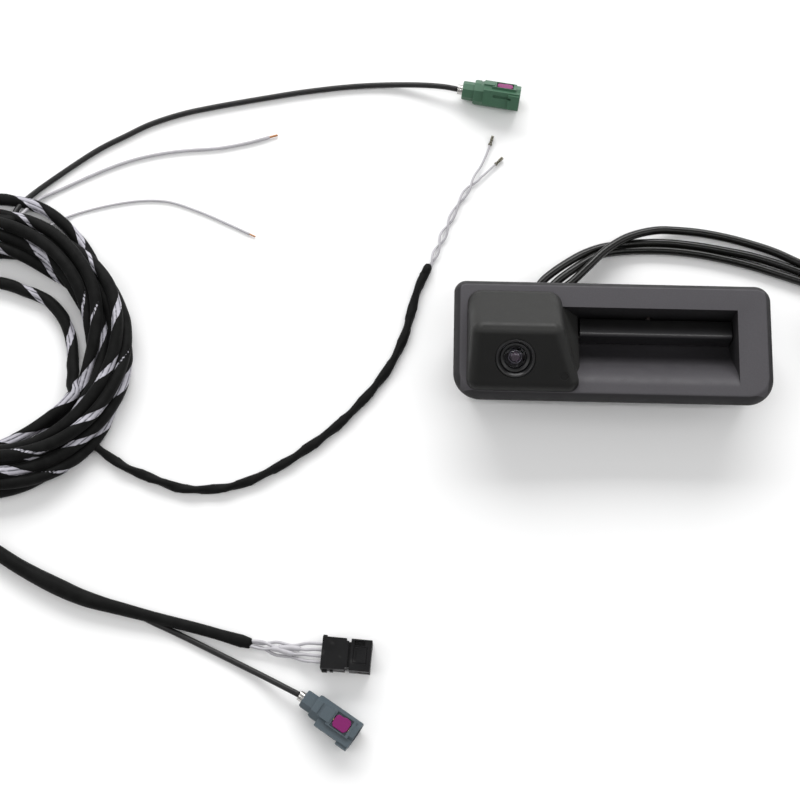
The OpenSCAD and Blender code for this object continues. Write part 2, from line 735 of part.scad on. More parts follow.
// Plug body: the window faces +z, the latch rib -y, and the mouth +x
module coax_shape() {
    difference() {
        union() {
            octagon_bar(coax_collar_w, 0, coax_collar + eps);
            octagon_bar(coax_w, coax_collar, coax_l);
            translate([rib_x0, -coax_w / 2 - rib_t, -rib_w / 2]) cube([coax_l - rib_x0, rib_t + 1, rib_w]);
        }
        along_x(coax_bore_r, cavity_x0, coax_l + 1);
        along_x(ferrule_r, -1, cavity_x0 + 0.1);
        translate([lock_x - lock_l / 2, -lock_w / 2, coax_w / 2 - lock_t]) cube([lock_l, lock_w, 3]);
        translate([rib_x0 + 3, rib_wall - coax_w / 2 - rib_t, rib_wall - rib_w / 2])
            cube([coax_l, rib_t, rib_w - 2 * rib_wall]);
    }
}

module coax_lock() {
    gap = 0.1;
    translate([lock_x - lock_l / 2 + gap, -lock_w / 2 + gap, coax_w / 2 - lock_t + gap])
        cube([lock_l - 2 * gap, lock_w - 2 * gap, lock_t]);
}

module at_green() { translate(green_at) rotate([0, 0, green_turn]) rotate([green_roll, 0, 0]) children(); }
module at_grey() { translate(grey_at) rotate([0, 0, grey_turn]) rotate([grey_roll, 0, 0]) children(); }

module green_body() { color(green) at_green() coax_shape(); }
module grey_body() { color(grey_blue) at_grey() coax_shape(); }
module green_lock() { color(magenta) at_green() coax_lock(); }
module grey_lock() { color(magenta) at_grey() coax_lock(); }

module ferrule() {
    difference() {
        along_x(ferrule_r, -2, ferrule_l);
        along_x(coax_r, -3, 5);
    }
}

module contact() {
    difference() {
        along_x(contact_r, cavity_x0, cavity_x0 + contact_l);
        along_x(contact_r - contact_wall, cavity_x0 + 1, coax_l);
    }
    along_x(core_r, cavity_x0 + 0.9, cavity_x0 + contact_l - 1);
    along_x(ferrule_r, ferrule_l, cavity_x0 + 0.05);
}

module coax_ferrules() {
    color(steel) {
        at_green() ferrule();
        at_grey() ferrule();
    }
}

module coax_contacts() {
    color(brass) {
        at_green() contact();
        at_grey() contact();
    }
}

// ---- Harness ----

module harness_coil() {
    inner = coil_mean_r - coil_band / 2;
    outer = coil_mean_r + coil_band / 2;
    color(black) translate([coil_at[0], coil_at[1], 0]) rotate_extrude($fn = 96) polygon(concat(
        arc([outer - 5, coil_h - 5], 5, 0, 90), arc([inner + 5, coil_h - 5], 5, 90, 180),
        arc([inner + 2, 2], 2, 180, 270), arc([outer - 2, 2], 2, 270, 360)));
}

module green_lead() { color(black) tube(green_route, coax_r); }
module grey_lead() { color(black) tube(grey_route, coax_r); }
module long_wire() { color(white_wire) tube(long_route, wire_r); }
module short_wire() { color(white_wire) tube(short_route, thin_wire_r); }
module taped_branch() { color(black) tube(taped_route, taped_r); }
module twisted_pair() { color(white_wire) { tube(pair_route_a, wire_r); tube(pair_route_b, wire_r); } }
module main_branch() { color(black) tube(main_route, main_r, 10); }
module plug_branch() { color(black) tube(plug_route, plug_branch_r); }

// A short piece that carries on straight from the end of a route
module on_end(route) {
    last = route[len(route) - 1];
    h = heading(route, len(route) - 1);
    translate(last) rotate([0, 0, atan2(h[1], h[0])]) children();
}

module wire_tips() {
    color("#a06a3a") {
        on_end(long_route) along_x(0.4, 0, 3.4);
        on_end(short_route) along_x(0.28, 0, 2.6);
    }
}

module crimp_pins() {
    color("#6a6248") for (route = [pair_route_a, pair_route_b]) on_end(route) {
        along_x(0.75, 0, 2);
        translate([1.9, -0.6, -0.6]) cube([3.6, 1.2, 1.2]);
    }
}

// Four-way plug of the harness; its wires enter from -x
module at_plug4() { translate(plug4_at) rotate([0, 0, plug4_turn]) children(); }
plug4_pitch = 2.2;
function plug4_row(i) = (i - 1.5) * plug4_pitch;
neck_x = 9.6;
neck_gap = 0.8;
lock4_t = 1.3;
lock4_l = 5;
lock4_w = 6;

module plug4_body() {
    color(black) at_plug4() difference() {
        union() {
            translate([0.6, -plug4_w / 2 + 1.1, 1]) cube([plug4_l - 1, plug4_w - 2.2, plug4_h - 2]);
            translate([neck_x + neck_gap, -plug4_w / 2, 0])
                cube([plug4_l - neck_x - neck_gap, plug4_w, plug4_h]);
        }
        for (i = [0 : 3]) translate([0, plug4_row(i), plug4_h / 2]) {
            along_x(0.85, 0, 3);
            translate([2.9, -0.8, -0.8]) cube([plug4_l, 1.6, 1.6]);
        }
        translate([neck_x + neck_gap + 1, -lock4_w / 2, plug4_h - lock4_t]) cube([lock4_l, lock4_w, 3]);
    }
}

module plug4_cover() {
    color(dark) at_plug4() difference() {
        union() {
            translate([0, -plug4_w / 2, 0]) cube([neck_x, plug4_w, plug4_h]);
            translate([0.6, -plug4_w / 2 - 0.9, 1.6]) cube([1.6, 1, 3]);
            translate([0, plug4_w / 2 - 0.1, 2.6]) cube([1.4, 0.9, 4]);
        }
        translate([-1, -plug4_w / 2 + 1.1, 1]) cube([20, plug4_w - 2.2, plug4_h - 2]);
    }
}

module plug4_lock() {
    gap = 0.1;
    color(dark) at_plug4()
        translate([neck_x + neck_gap + 1 + gap, -lock4_w / 2 + gap, plug4_h - lock4_t + gap])
            cube([lock4_l - 2 * gap, lock4_w - 2 * gap, lock4_t - gap]);
}

module plug4_terminals() {
    color(brass) at_plug4() for (i = [0 : 3]) translate([0, plug4_row(i), plug4_h / 2]) {
        along_x(0.75, 1.6, 4.2);
        translate([4.1, -0.6, -0.6]) cube([plug4_l - 6, 1.2, 1.2]);
    }
}

// Wires from the end of the taped branch into the plug
function plug4_point(x, y, z) = plug4_at + [x * cos(plug4_turn) - y * sin(plug4_turn),
    x * sin(plug4_turn) + y * cos(plug4_turn), z];
// Each wire: its side and height in the bundle at the tape's end
wire_side = [-0.7, -0.7, 0.7, 0.7];
wire_rise = [1.3, 2.7, 2.7, 1.3];
tape_end = [-26.6, 1.45];
module plug_wires() {
    color(white_wire) for (i = [0 : 3]) tube([
        plug4_point(tape_end[0] - 1, tape_end[1] + wire_side[i], wire_rise[i]),
        plug4_point(-22, 1 + wire_side[i] * 1.3, wire_rise[i] + 0.1),
        plug4_point(-15, 0.4 + plug4_row(i) * 0.62, wire_rise[i] + 0.1),
        plug4_point(-8, plug4_row(i) * 0.8, wire_rise[i] + 0.3),
        plug4_point(-3, plug4_row(i), plug4_h / 2),
        plug4_point(1.6, plug4_row(i), plug4_h / 2)], wire_r);
}

faceplate();
camera_hood();
rear_housing();
rear_cover();
cover_screws();
rim_gasket();
mounting_inserts();
release_bar();
pivot_pin();
return_springs();
switch_body();
switch_plunger();
switch_terminals();
camera_front_case();
camera_rear_case();
case_seal();
case_screws();
lens_barrel();
lens_bezel();
front_lens();
inner_lens();
lens_seal();
image_sensor();
sensor_board();
camera_cradle();
cradle_screws();
cable_grommet();
inner_leads();
video_pigtail();
power_pigtail();
switch_pigtail();
pigtail_coil();
pigtail_tie();
video_plug();
power_plug();
switch_plug();
harness_coil();
green_lead();
green_body();
green_lock();
grey_lead();
grey_body();
grey_lock();
coax_ferrules();
coax_contacts();
long_wire();
short_wire();
wire_tips();
taped_branch();
twisted_pair();
crimp_pins();
main_branch();
plug_branch();
plug_wires();
plug4_body();
plug4_cover();
plug4_lock();
plug4_terminals();
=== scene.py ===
import json
import math

import bmesh
import bpy
import numpy as np
from mathutils import Matrix, Vector


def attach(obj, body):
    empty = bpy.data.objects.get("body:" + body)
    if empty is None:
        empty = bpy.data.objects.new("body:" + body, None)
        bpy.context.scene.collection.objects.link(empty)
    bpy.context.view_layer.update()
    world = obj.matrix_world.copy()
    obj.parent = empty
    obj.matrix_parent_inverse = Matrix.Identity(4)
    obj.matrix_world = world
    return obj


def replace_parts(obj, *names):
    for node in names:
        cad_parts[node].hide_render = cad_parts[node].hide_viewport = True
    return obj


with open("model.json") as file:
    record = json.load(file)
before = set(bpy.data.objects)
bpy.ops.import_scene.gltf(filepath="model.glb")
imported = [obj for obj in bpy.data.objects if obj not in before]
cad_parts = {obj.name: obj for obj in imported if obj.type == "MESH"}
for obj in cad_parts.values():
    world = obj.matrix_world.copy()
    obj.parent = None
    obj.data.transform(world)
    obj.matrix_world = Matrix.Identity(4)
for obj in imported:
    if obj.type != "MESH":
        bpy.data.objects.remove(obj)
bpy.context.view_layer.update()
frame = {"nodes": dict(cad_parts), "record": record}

# Looks of a tailgate handle with a built-in camera, its pigtails and a coiled wiring harness.
# Lengths in this file are written in millimetres and turned into metres by MM.
MM = 0.001


# ---- Shader nodes ----

class Shader:
    """A Principled material whose inputs are fed by short chains of nodes."""

    def __init__(self, name, colour, roughness=0.5, **sockets):
        self.material = bpy.data.materials.new(name)
        self.material.use_nodes = True
        self.tree = self.material.node_tree
        self.bsdf = self.tree.nodes["Principled BSDF"]
        self.bsdf.inputs["Base Color"].default_value = (*colour, 1)
        self.bsdf.inputs["Roughness"].default_value = roughness
        for socket, value in sockets.items():
            self.bsdf.inputs[socket.replace("_", " ")].default_value = value
        self.place = self.add("ShaderNodeTexCoord").outputs["Object"]
        self.height = None

    def add(self, kind, inputs=None, **settings):
        node = self.tree.nodes.new(kind)
        for key, value in settings.items():
            setattr(node, key, value)
        for key, value in (inputs or {}).items():
            if isinstance(value, bpy.types.NodeSocket):
                self.tree.links.new(value, node.inputs[key])
            else:
                node.inputs[key].default_value = value
        return node

    def math(self, operation, a, b=0.0, c=0.0):
        return self.add("ShaderNodeMath", {0: a, 1: b, 2: c}, operation=operation).outputs[0]

    def noise(self, size, detail=2.0, stretch=None):
        """Noise from 0 to 1 whose blotches are about size millimetres across."""
        place = self.place
        if stretch:
            place = self.add("ShaderNodeVectorMath", {0: place, 1: stretch},
                             operation="MULTIPLY").outputs[0]
        inputs = {"Vector": place, "Scale": 1 / (size * MM), "Detail": detail}
        return self.add("ShaderNodeTexNoise", inputs).outputs["Fac"]

    def attribute(self, name):
        return self.add("ShaderNodeAttribute", attribute_name=name)

    def ramp(self, value, low, high, to_low=0.0, to_high=1.0):
        """A smooth step from to_low at low to to_high at high."""
        inputs = {"Value": value, "From Min": low, "From Max": high, "To Min": to_low, "To Max": to_high}
        return self.add("ShaderNodeMapRange", inputs, interpolation_type="SMOOTHSTEP").outputs["Result"]

    def split(self, vector):
        return self.add("ShaderNodeSeparateXYZ", {"Vector": vector}).outputs

    def blend(self, fac, a, b):
        """Colour a where fac is 0 and colour b where it is 1."""
        node = self.tree.nodes.new("ShaderNodeMix")
        node.data_type = "RGBA"
        sockets = (node.inputs["Factor"], node.inputs[6], node.inputs[7])
        for socket, value in zip(sockets, (fac, a, b)):
            if isinstance(value, bpy.types.NodeSocket):
                self.tree.links.new(value, socket)
            elif isinstance(value, tuple):
                socket.default_value = (*value, 1)
            else:
                socket.default_value = value
        return node.outputs[2]

    def tint(self, colour):
        self.tree.links.new(colour, self.bsdf.inputs["Base Color"])

    def rough(self, value):
        self.tree.links.new(value, self.bsdf.inputs["Roughness"])

    def bump(self, value, depth):
        """Adds a bump depth millimetres high."""
        inputs = {"Height": value, "Distance": depth * MM, "Strength": 1.0}
        if self.height:
            inputs["Normal"] = self.height
        self.height = self.add("ShaderNodeBump", inputs).outputs["Normal"]
        self.tree.links.new(self.height, self.bsdf.inputs["Normal"])


def shade(colour, factor):
    return tuple(channel * factor for channel in colour)


# DUST is real dust; the other two tones are near-black painted shade: one for deep parts, one for walls,
# rims and faces turned away from the light.
DUST, DEEP_SHADE_TONE, SHADE_TONE = (0.3, 0.29, 0.28), (0.004, 0.004, 0.004), (0.002, 0.002, 0.002)
DEEP_SHADE_Y = (4, 9)  # y over which the painted shade of deep parts goes from its front share to its back share
# How the painted shade on rims and walls fades: blur past the rectangle, normal z over which rims darken,
# normal z over which walls darken, share lost on walls.
LIP_BLUR = 0.2
LIP_SLOPE, WALL_SLOPE, WALL_LOST = (0.8, 0.97), (0.25, 0.7), 0.6


def moulded(name, colour, rough=(0.45, 0.6), grain=0.35, depth=0.02, variety=0.1, dust=0.0,
            deep_shade=None, rim_shade=None, turned=None, **sockets):
    """Moulded plastic: fine grain, slow change of colour and gloss, a little dust.

    deep_shade paints shade into deep parts, where shade falls: low z, high z, share of colour kept in front,
    share kept at the back.
    rim_shade paints shade on walls, and on the sloping faces outside a rectangle: half its x, half its y,
    share kept.
    turned paints shade on faces by the Y of their normal, on the side turned away from the light: low, high,
    share kept.
    """
    s = Shader(name, colour, **sockets)
    slow = s.noise(18, 3)
    fine = s.noise(grain, 2)
    tone = s.blend(slow, shade(colour, 1 - variety), shade(colour, 1 + variety))
    tone = s.blend(s.ramp(fine, 0.35, 0.7, 0.0, 0.35), tone, shade(colour, 1.35))
    if dust:
        tone = s.blend(s.ramp(s.noise(4.5, 5), 0.56, 0.75, 0.0, dust), tone, DUST)
    # Painted shade: deep parts, more so towards the back, darken towards a near-black tone.
    if deep_shade:
        low, high, front, back = deep_shade
        place = s.split(s.place)
        lost = s.ramp(place["Y"], DEEP_SHADE_Y[0] * MM, DEEP_SHADE_Y[1] * MM, 1 - front, 1 - back)
        deep = s.ramp(place["Z"], low * MM, high * MM, 1.0, 0.0)
        tone = s.blend(s.math("MULTIPLY", lost, deep), tone, DEEP_SHADE_TONE)
    if rim_shade or turned:
        normal = s.split(s.add("ShaderNodeNewGeometry").outputs["Normal"])
    # Painted shade on the rim's sloping faces outside the rectangle, and on every wall.
    if rim_shade:
        half_x, half_y, kept = rim_shade
        place = s.split(s.place)
        beyond = s.math("MAXIMUM", s.math("SUBTRACT", s.math("ABSOLUTE", place["X"]), half_x * MM),
                        s.math("SUBTRACT", s.math("ABSOLUTE", place["Y"]), half_y * MM))
        outside = s.ramp(beyond, 0.0, LIP_BLUR * MM, 0.0, 1 - kept)
        tone = s.blend(s.math("MULTIPLY", outside, s.ramp(normal["Z"], *LIP_SLOPE, 1.0, 0.0)), tone, SHADE_TONE)
        tone = s.blend(s.ramp(normal["Z"], *WALL_SLOPE, WALL_LOST, 0.0), tone, SHADE_TONE)
    # Painted shade on faces turned away from the light.
    if turned:
        low, high, kept = turned
        tone = s.blend(s.ramp(normal["Y"], low, high, 1 - kept, 0.0), tone, SHADE_TONE)
    s.tint(tone)
    s.rough(s.ramp(s.noise(5, 4), 0.3, 0.7, *rough))
    s.bump(fine, depth)
    return s.material


def metal(name, colour, rough=(0.2, 0.35), brush=(1, 1, 1)):
    """Plated or bare metal with fine marks along its length."""
    s = Shader(name, colour, Metallic=1.0)
    marks = s.noise(0.5, 3, brush)
    s.tint(s.blend(marks, shade(colour, 0.8), shade(colour, 1.1)))
    s.rough(s.ramp(marks, 0.3, 0.7, *rough))
    s.bump(marks, 0.01)
    return s.material


RING_PITCH = 2.4


def jacket(name, colour, rough=(0.2, 0.34), rib=0.03, variety=1.6, **sockets):
    """Extruded cable jacket: smooth and glossy, with faint rings and scuffs."""
    s = Shader(name, colour, **sockets)
    along = s.attribute("along").outputs["Fac"]
    rings = s.math("SINE", s.math("MULTIPLY", along, 2 * math.pi / (RING_PITCH * MM)))
    scuff = s.noise(3.0, 4)
    s.tint(s.blend(s.ramp(scuff, 0.4, 0.75), colour, shade(colour, variety)))
    s.rough(s.ramp(scuff, 0.3, 0.75, *rough))
    s.bump(rings, rib * 0.3)
    s.bump(s.noise(0.8, 2), rib)
    return s.material


TAPE_BLACK, TAPE_FLUFF = (0.0034, 0.0035, 0.0034), (0.014, 0.014, 0.013)
WIRE_SHADOW, WIRE_GREY, WIRE_PALE = (0.1, 0.1, 0.115), (0.46, 0.45, 0.5), (0.6, 0.59, 0.64)
THREAD_PITCH, THREADS_ROUND = 0.55, 30.0
WIRES_SHOWN, WIRE_TWIST = 7.0, 90.0


def tape(name, gap=False):
    """Black cloth tape. Its helical gaps show the white wires that it holds."""
    s = Shader(name, TAPE_BLACK, Sheen_Weight=0.03, Sheen_Roughness=0.5, Specular_IOR_Level=0.1)
    along = s.attribute("along").outputs["Fac"]
    side = s.split(s.attribute("side").outputs["Vector"])
    angle = s.math("ARCTAN2", side["Y"], side["X"])
    thread_a = s.math("SINE", s.math("MULTIPLY", along, 2 * math.pi / (THREAD_PITCH * MM)))
    thread_b = s.math("SINE", s.math("MULTIPLY", angle, THREADS_ROUND))
    weave = s.math("MULTIPLY_ADD", thread_a, 0.5, s.math("MULTIPLY", thread_b, 0.5))
    blotch = s.noise(4.0, 4)
    cloth = s.blend(s.ramp(blotch, 0.35, 0.75), shade(TAPE_BLACK, 0.75), shade(TAPE_BLACK, 1.9))
    cloth = s.blend(s.ramp(s.noise(0.35, 2), 0.55, 0.8, 0.0, 0.3), cloth, TAPE_FLUFF)
    if gap:
        edge = s.attribute("gap").outputs["Fac"]
        ragged = s.math("MULTIPLY_ADD", s.noise(2.4, 2), 0.6, s.math("SUBTRACT", edge, 0.36))
        shown = s.ramp(ragged, -0.05, 0.12)
        turn = s.math("MULTIPLY_ADD", angle, WIRES_SHOWN, s.math("MULTIPLY", along, WIRE_TWIST))
        stripe = s.math("COSINE", turn)
        white = s.blend(s.ramp(stripe, -1.0, -0.35), WIRE_SHADOW, WIRE_GREY)
        white = s.blend(s.ramp(s.noise(1.3, 3), 0.45, 0.75, 0.0, 0.6), white, WIRE_PALE)
        s.tint(s.blend(shown, cloth, white))
        s.rough(s.ramp(shown, 0.0, 1.0, 0.62, 0.4))
        s.bump(s.math("MULTIPLY", shown, -1.0), 0.12)
        s.bump(s.math("MULTIPLY", stripe, shown), 0.09)
        s.bump(weave, 0.02)
    else:
        s.tint(cloth)
        s.rough(s.ramp(blotch, 0.3, 0.8, 0.5, 0.72))
        s.bump(weave, 0.025)
    s.bump(blotch, 0.12)
    return s.material


def glass(name, tint):
    """Coated lens glass with faint smears."""
    s = Shader(name, tint, 0.03, IOR=1.22, Transmission_Weight=1.0)
    s.bump(s.noise(6, 2), 0.002)
    s.rough(s.ramp(s.noise(2, 4), 0.5, 0.8, 0.02, 0.07))
    return s.material


MATERIALS = {
    # The faceplate gets painted shade in the recess's deep parts, on its rim and on its walls.
    "faceplate_plastic": moulded("charcoal_grained", (0.058, 0.055, 0.061), (0.5, 0.62), 0.42, 0.035, 0.07,
                                 deep_shade=(10, 25.5, 0.5, 0.1), rim_shade=(56.3, 20.3, 0.3), Specular_IOR_Level=0.3),
    # The hood's face, turned towards -y, gets painted shade.
    "hood_plastic": moulded("hood_satin", (0.026, 0.026, 0.025), (0.4, 0.5), 0.5, 0.015, 0.08,
                            turned=(-0.5, 0.05, 0.3), Specular_IOR_Level=0.2),
    "housing_plastic": moulded("housing_satin", (0.016, 0.016, 0.017), (0.42, 0.58), 0.6, 0.02, 0.12),
    # The bar's top, towards its back, gets painted shade where the recess's upper wall shades it.
    "bar_plastic": moulded("bar_smooth", (0.026, 0.025, 0.028), (0.29, 0.34), 0.4, 0.003, 0.06,
                           deep_shade=(20, 21, 1.0, 0.05), Specular_IOR_Level=0.8),
    "soft_rubber": moulded("soft_rubber", (0.014, 0.014, 0.014), (0.65, 0.8), 0.3, 0.01, 0.1),
    "steel": metal("plated_steel", (0.56, 0.55, 0.53)),
    "brass": metal("brass", (0.6, 0.43, 0.19)),
    "plunger_plastic": moulded("plunger_dark", (0.012, 0.007, 0.007), (0.35, 0.5), 0.3, 0.01),
    "lens_black": moulded("lens_gloss_black", (0.004, 0.004, 0.0045), (0.3, 0.38), 0.6, 0.002, 0.1),
    "lens_glass": glass("coated_glass", (0.8, 0.78, 0.85)),
    "lens_coated": moulded("lens_purple", (0.055, 0.034, 0.05), (0.08, 0.12), 0.8, 0.001, 0.2,
                           Coat_Weight=1.0),
    "lens_rim": moulded("lens_rim", (0.1, 0.095, 0.11), (0.35, 0.45), 0.6, 0.002, 0.1),
    "sensor_glass": moulded("sensor_blue", (0.045, 0.075, 0.15), (0.1, 0.2), 0.5, 0.002),
    "circuit_board": moulded("solder_mask", (0.018, 0.11, 0.045), (0.25, 0.4), 0.5, 0.01),
    "cable_jacket": jacket("cable_jacket", (0.0038, 0.0038, 0.0032), (0.18, 0.28), Specular_IOR_Level=0.32),
    "coax_jacket": jacket("coax_jacket", (0.008, 0.0078, 0.008), (0.34, 0.45), Specular_IOR_Level=0.35),
    "tie_plastic": moulded("tie_black", (0.02, 0.02, 0.02), (0.4, 0.5), 0.3, 0.01),
    "plug_black": moulded("plug_black", (0.0045, 0.0045, 0.005), (0.34, 0.52), 0.4, 0.02, 0.15, 0.07,
                          Specular_IOR_Level=0.2),
    "harness_tape": tape("cloth_tape"),
    "gapped_tape": tape("cloth_tape_gaps", True),
    "green_plastic": moulded("green_plastic", (0.04, 0.112, 0.064), (0.42, 0.56), 0.35, 0.02, 0.14),
    "grey_blue_plastic": moulded("grey_blue_plastic", (0.056, 0.078, 0.093), (0.42, 0.56), 0.35, 0.02,
                                 0.1),
    "magenta_plastic": moulded("magenta_plastic", (0.18, 0.006, 0.105), (0.42, 0.55), 0.3, 0.015, 0.12,
                               Specular_IOR_Level=0.3),
    "wire_white": jacket("white_wire", (0.43, 0.42, 0.445), (0.35, 0.48), 0.008, 1.12),
    "copper": metal("bare_copper", (0.42, 0.2, 0.09), (0.3, 0.45)),
    "tinned_pin": metal("crimp_pin", (0.2, 0.19, 0.15), (0.35, 0.5)),
}


def finish_with(obj, name):
    obj.data.materials.clear()
    obj.data.materials.append(MATERIALS[name])
    return obj


def settle(obj, finish, nodes, body="root"):
    """Gives a piece its finish, the CAD nodes that it stands for and the body that it rides."""
    finish_with(obj, finish)
    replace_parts(obj, *nodes)
    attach(obj, body)


# ---- Mesh tools ----

def mesh_object(name, points, faces, smooth=True):
    mesh = bpy.data.meshes.new(name)
    mesh.from_pydata([tuple(p) for p in np.asarray(points) * MM], [], faces)
    mesh.validate()
    mesh.polygons.foreach_set("use_smooth", [smooth] * len(mesh.polygons))
    obj = bpy.data.objects.new(name, mesh)
    bpy.context.collection.objects.link(obj)
    return obj


def baked(obj, sharp=35):
    """Applies the modifiers and shades smooth, apart from edges sharper than an angle."""
    depsgraph = bpy.context.evaluated_depsgraph_get()
    mesh = bpy.data.meshes.new_from_object(obj.evaluated_get(depsgraph))
    obj.modifiers.clear()
    obj.data = mesh
    mesh.polygons.foreach_set("use_smooth", [True] * len(mesh.polygons))
    mesh.set_sharp_from_angle(angle=math.radians(sharp))
    return obj


def boolean(obj, other, operation):
    modifier = obj.modifiers.new(operation.lower(), "BOOLEAN")
    modifier.operation = operation
    modifier.solver = "EXACT"
    modifier.object = other
    baked(obj)
    bpy.data.objects.remove(other)


def cut(obj, *others):
    for other in others:
        boolean(obj, other, "DIFFERENCE")
    return obj


def join(obj, *others):
    for other in others:
        boolean(obj, other, "UNION")
    return obj


def soften(obj, width, segments=2, angle=35):
    """Rounds the sharp edges, and keeps flat faces flat."""
    modifier = obj.modifiers.new("soften", "BEVEL")
    modifier.width = width * MM
    modifier.segments = segments
    modifier.limit_method = "ANGLE"
    modifier.angle_limit = math.radians(angle)
    modifier.use_clamp_overlap = True
    baked(obj, 50)
    flat = obj.modifiers.new("flat", "WEIGHTED_NORMAL")
    flat.keep_sharp = True
    return obj


def arc(centre, r, a0, a1, steps=8):
    turn = np.radians(np.linspace(a0, a1, steps + 1))
    return [(centre[0] + r * math.cos(a), centre[1] + r * math.sin(a)) for a in turn]


def rounded(x0, x1, y0, y1, radii, steps=8):
    """Rectangle whose corners have radii of their own: upper right, upper left, lower left, lower right."""
    a, b, c, d = (max(r, 0.01) for r in radii)
    return (arc((x1 - a, y1 - a), a, 0, 90, steps) + arc((x0 + b, y1 - b), b, 90, 180, steps)
            + arc((x0 + c, y0 + c), c, 180, 270, steps) + arc((x1 - d, y0 + d), d, 270, 360, steps))


def loft(name, rings, cap_start=True, cap_end=True):
    """Closed rings of points, joined one to the next."""
    n = len(rings[0])
    points = [p for ring in rings for p in ring]
    faces = []
    for i in range(len(rings) - 1):
        for k in range(n):
            a, b = i * n + k, i * n + (k + 1) % n
            faces.append((a, b, b + n, a + n))
    if cap_start:
        faces.append(tuple(range(n - 1, -1, -1)))
    if cap_end:
        faces.append(tuple(range((len(rings) - 1) * n, len(rings) * n)))
    return mesh_object(name, points, faces)


def prism(name, outline, z0, z1):
    return loft(name, [[(x, y, z) for x, y in outline] for z in (z0, z1)])


def block(name, x0, x1, y0, y1, z0, z1):
    return prism(name, [(x0, y0), (x1, y0), (x1, y1), (x0, y1)], z0, z1)


def across(name, outline, x0, x1):
    """Outline in the plane across the handle, y then z, drawn out along x."""
    return loft(name, [[(x, y, z) for y, z in outline] for x in (x0, x1)])


def lathe(name, profile, steps=64, caps=True):
    """Profile of radius and height, turned about z."""
    rings = []
    for r, z in profile:
        turn = np.linspace(0, 2 * math.pi, steps, endpoint=False)
        rings.append([(r * math.cos(a), r * math.sin(a), z) for a in turn])
    return loft(name, rings, caps, caps)


def rod(name, r, x0, x1, steps=40):
    """Cylinder along x."""
    turn = np.linspace(0, 2 * math.pi, steps, endpoint=False)
    return loft(name, [[(x, r * math.cos(a), r * math.sin(a)) for a in turn] for x in (x0, x1)])


def placed(obj, at, turn=0, roll=0, tilt=0):
    """Rolls about x, tilts about y, turns about z and moves the mesh itself."""
    spin = (Matrix.Rotation(math.radians(turn), 4, "Z") @ Matrix.Rotation(math.radians(tilt), 4, "Y")
            @ Matrix.Rotation(math.radians(roll), 4, "X"))
    obj.data.transform(Matrix.Translation(Vector(at) * MM) @ spin)
    return obj


def merged(name, *objs):
    """One object from several, each with its own closed mesh."""
    mesh = bpy.data.meshes.new(name)
    work = bmesh.new()
    for obj in objs:
        work.from_mesh(obj.data)
    work.to_mesh(mesh)
    work.free()
    for obj in objs:
        bpy.data.objects.remove(obj)
    obj = bpy.data.objects.new(name, mesh)
    bpy.context.collection.objects.link(obj)
    return obj


# ---- Cords ----

def smooth_path(points, step):
    """Points about step apart on a smooth curve through the given ones."""
    p = np.array(points, float)
    ends = [2 * p[0] - p[1], *p, 2 * p[-1] - p[-2]]
    out = []
    for a, b, c, d in zip(ends, ends[1:], ends[2:], ends[3:]):
        t0, t1 = 0.0, np.linalg.norm(b - a) ** 0.5
        t2 = t1 + np.linalg.norm(c - b) ** 0.5
        t3 = t2 + np.linalg.norm(d - c) ** 0.5
        for t in np.linspace(t1, t2, 24, endpoint=False):
            ab = a + (b - a) * (t - t0) / (t1 - t0)
            bc = b + (c - b) * (t - t1) / (t2 - t1)
            cd = c + (d - c) * (t - t2) / (t3 - t2)
            abc = ab + (bc - ab) * (t - t0) / (t2 - t0)
            bcd = bc + (cd - bc) * (t - t1) / (t3 - t1)
            out.append(abc + (bcd - abc) * (t - t1) / (t2 - t1))
    out.append(p[-1])
    return evenly(np.array(out), step)


def lengths(path):
    return np.concatenate([[0], np.cumsum(np.linalg.norm(np.diff(path, axis=0), axis=1))])


def evenly(path, step):
    along = lengths(path)
    want = np.linspace(0, along[-1], max(2, int(round(along[-1] / step)) + 1))
    return np.stack([np.interp(want, along, path[:, k]) for k in range(3)], axis=1)


NOSE = 0.35


def bearings(path):
    """Unit vectors along a path, and level ones square to them."""
    heading = np.gradient(path, axis=0)
    heading /= np.linalg.norm(heading, axis=1)[:, None]
    return heading, np.cross(heading, (0, 0, 1))


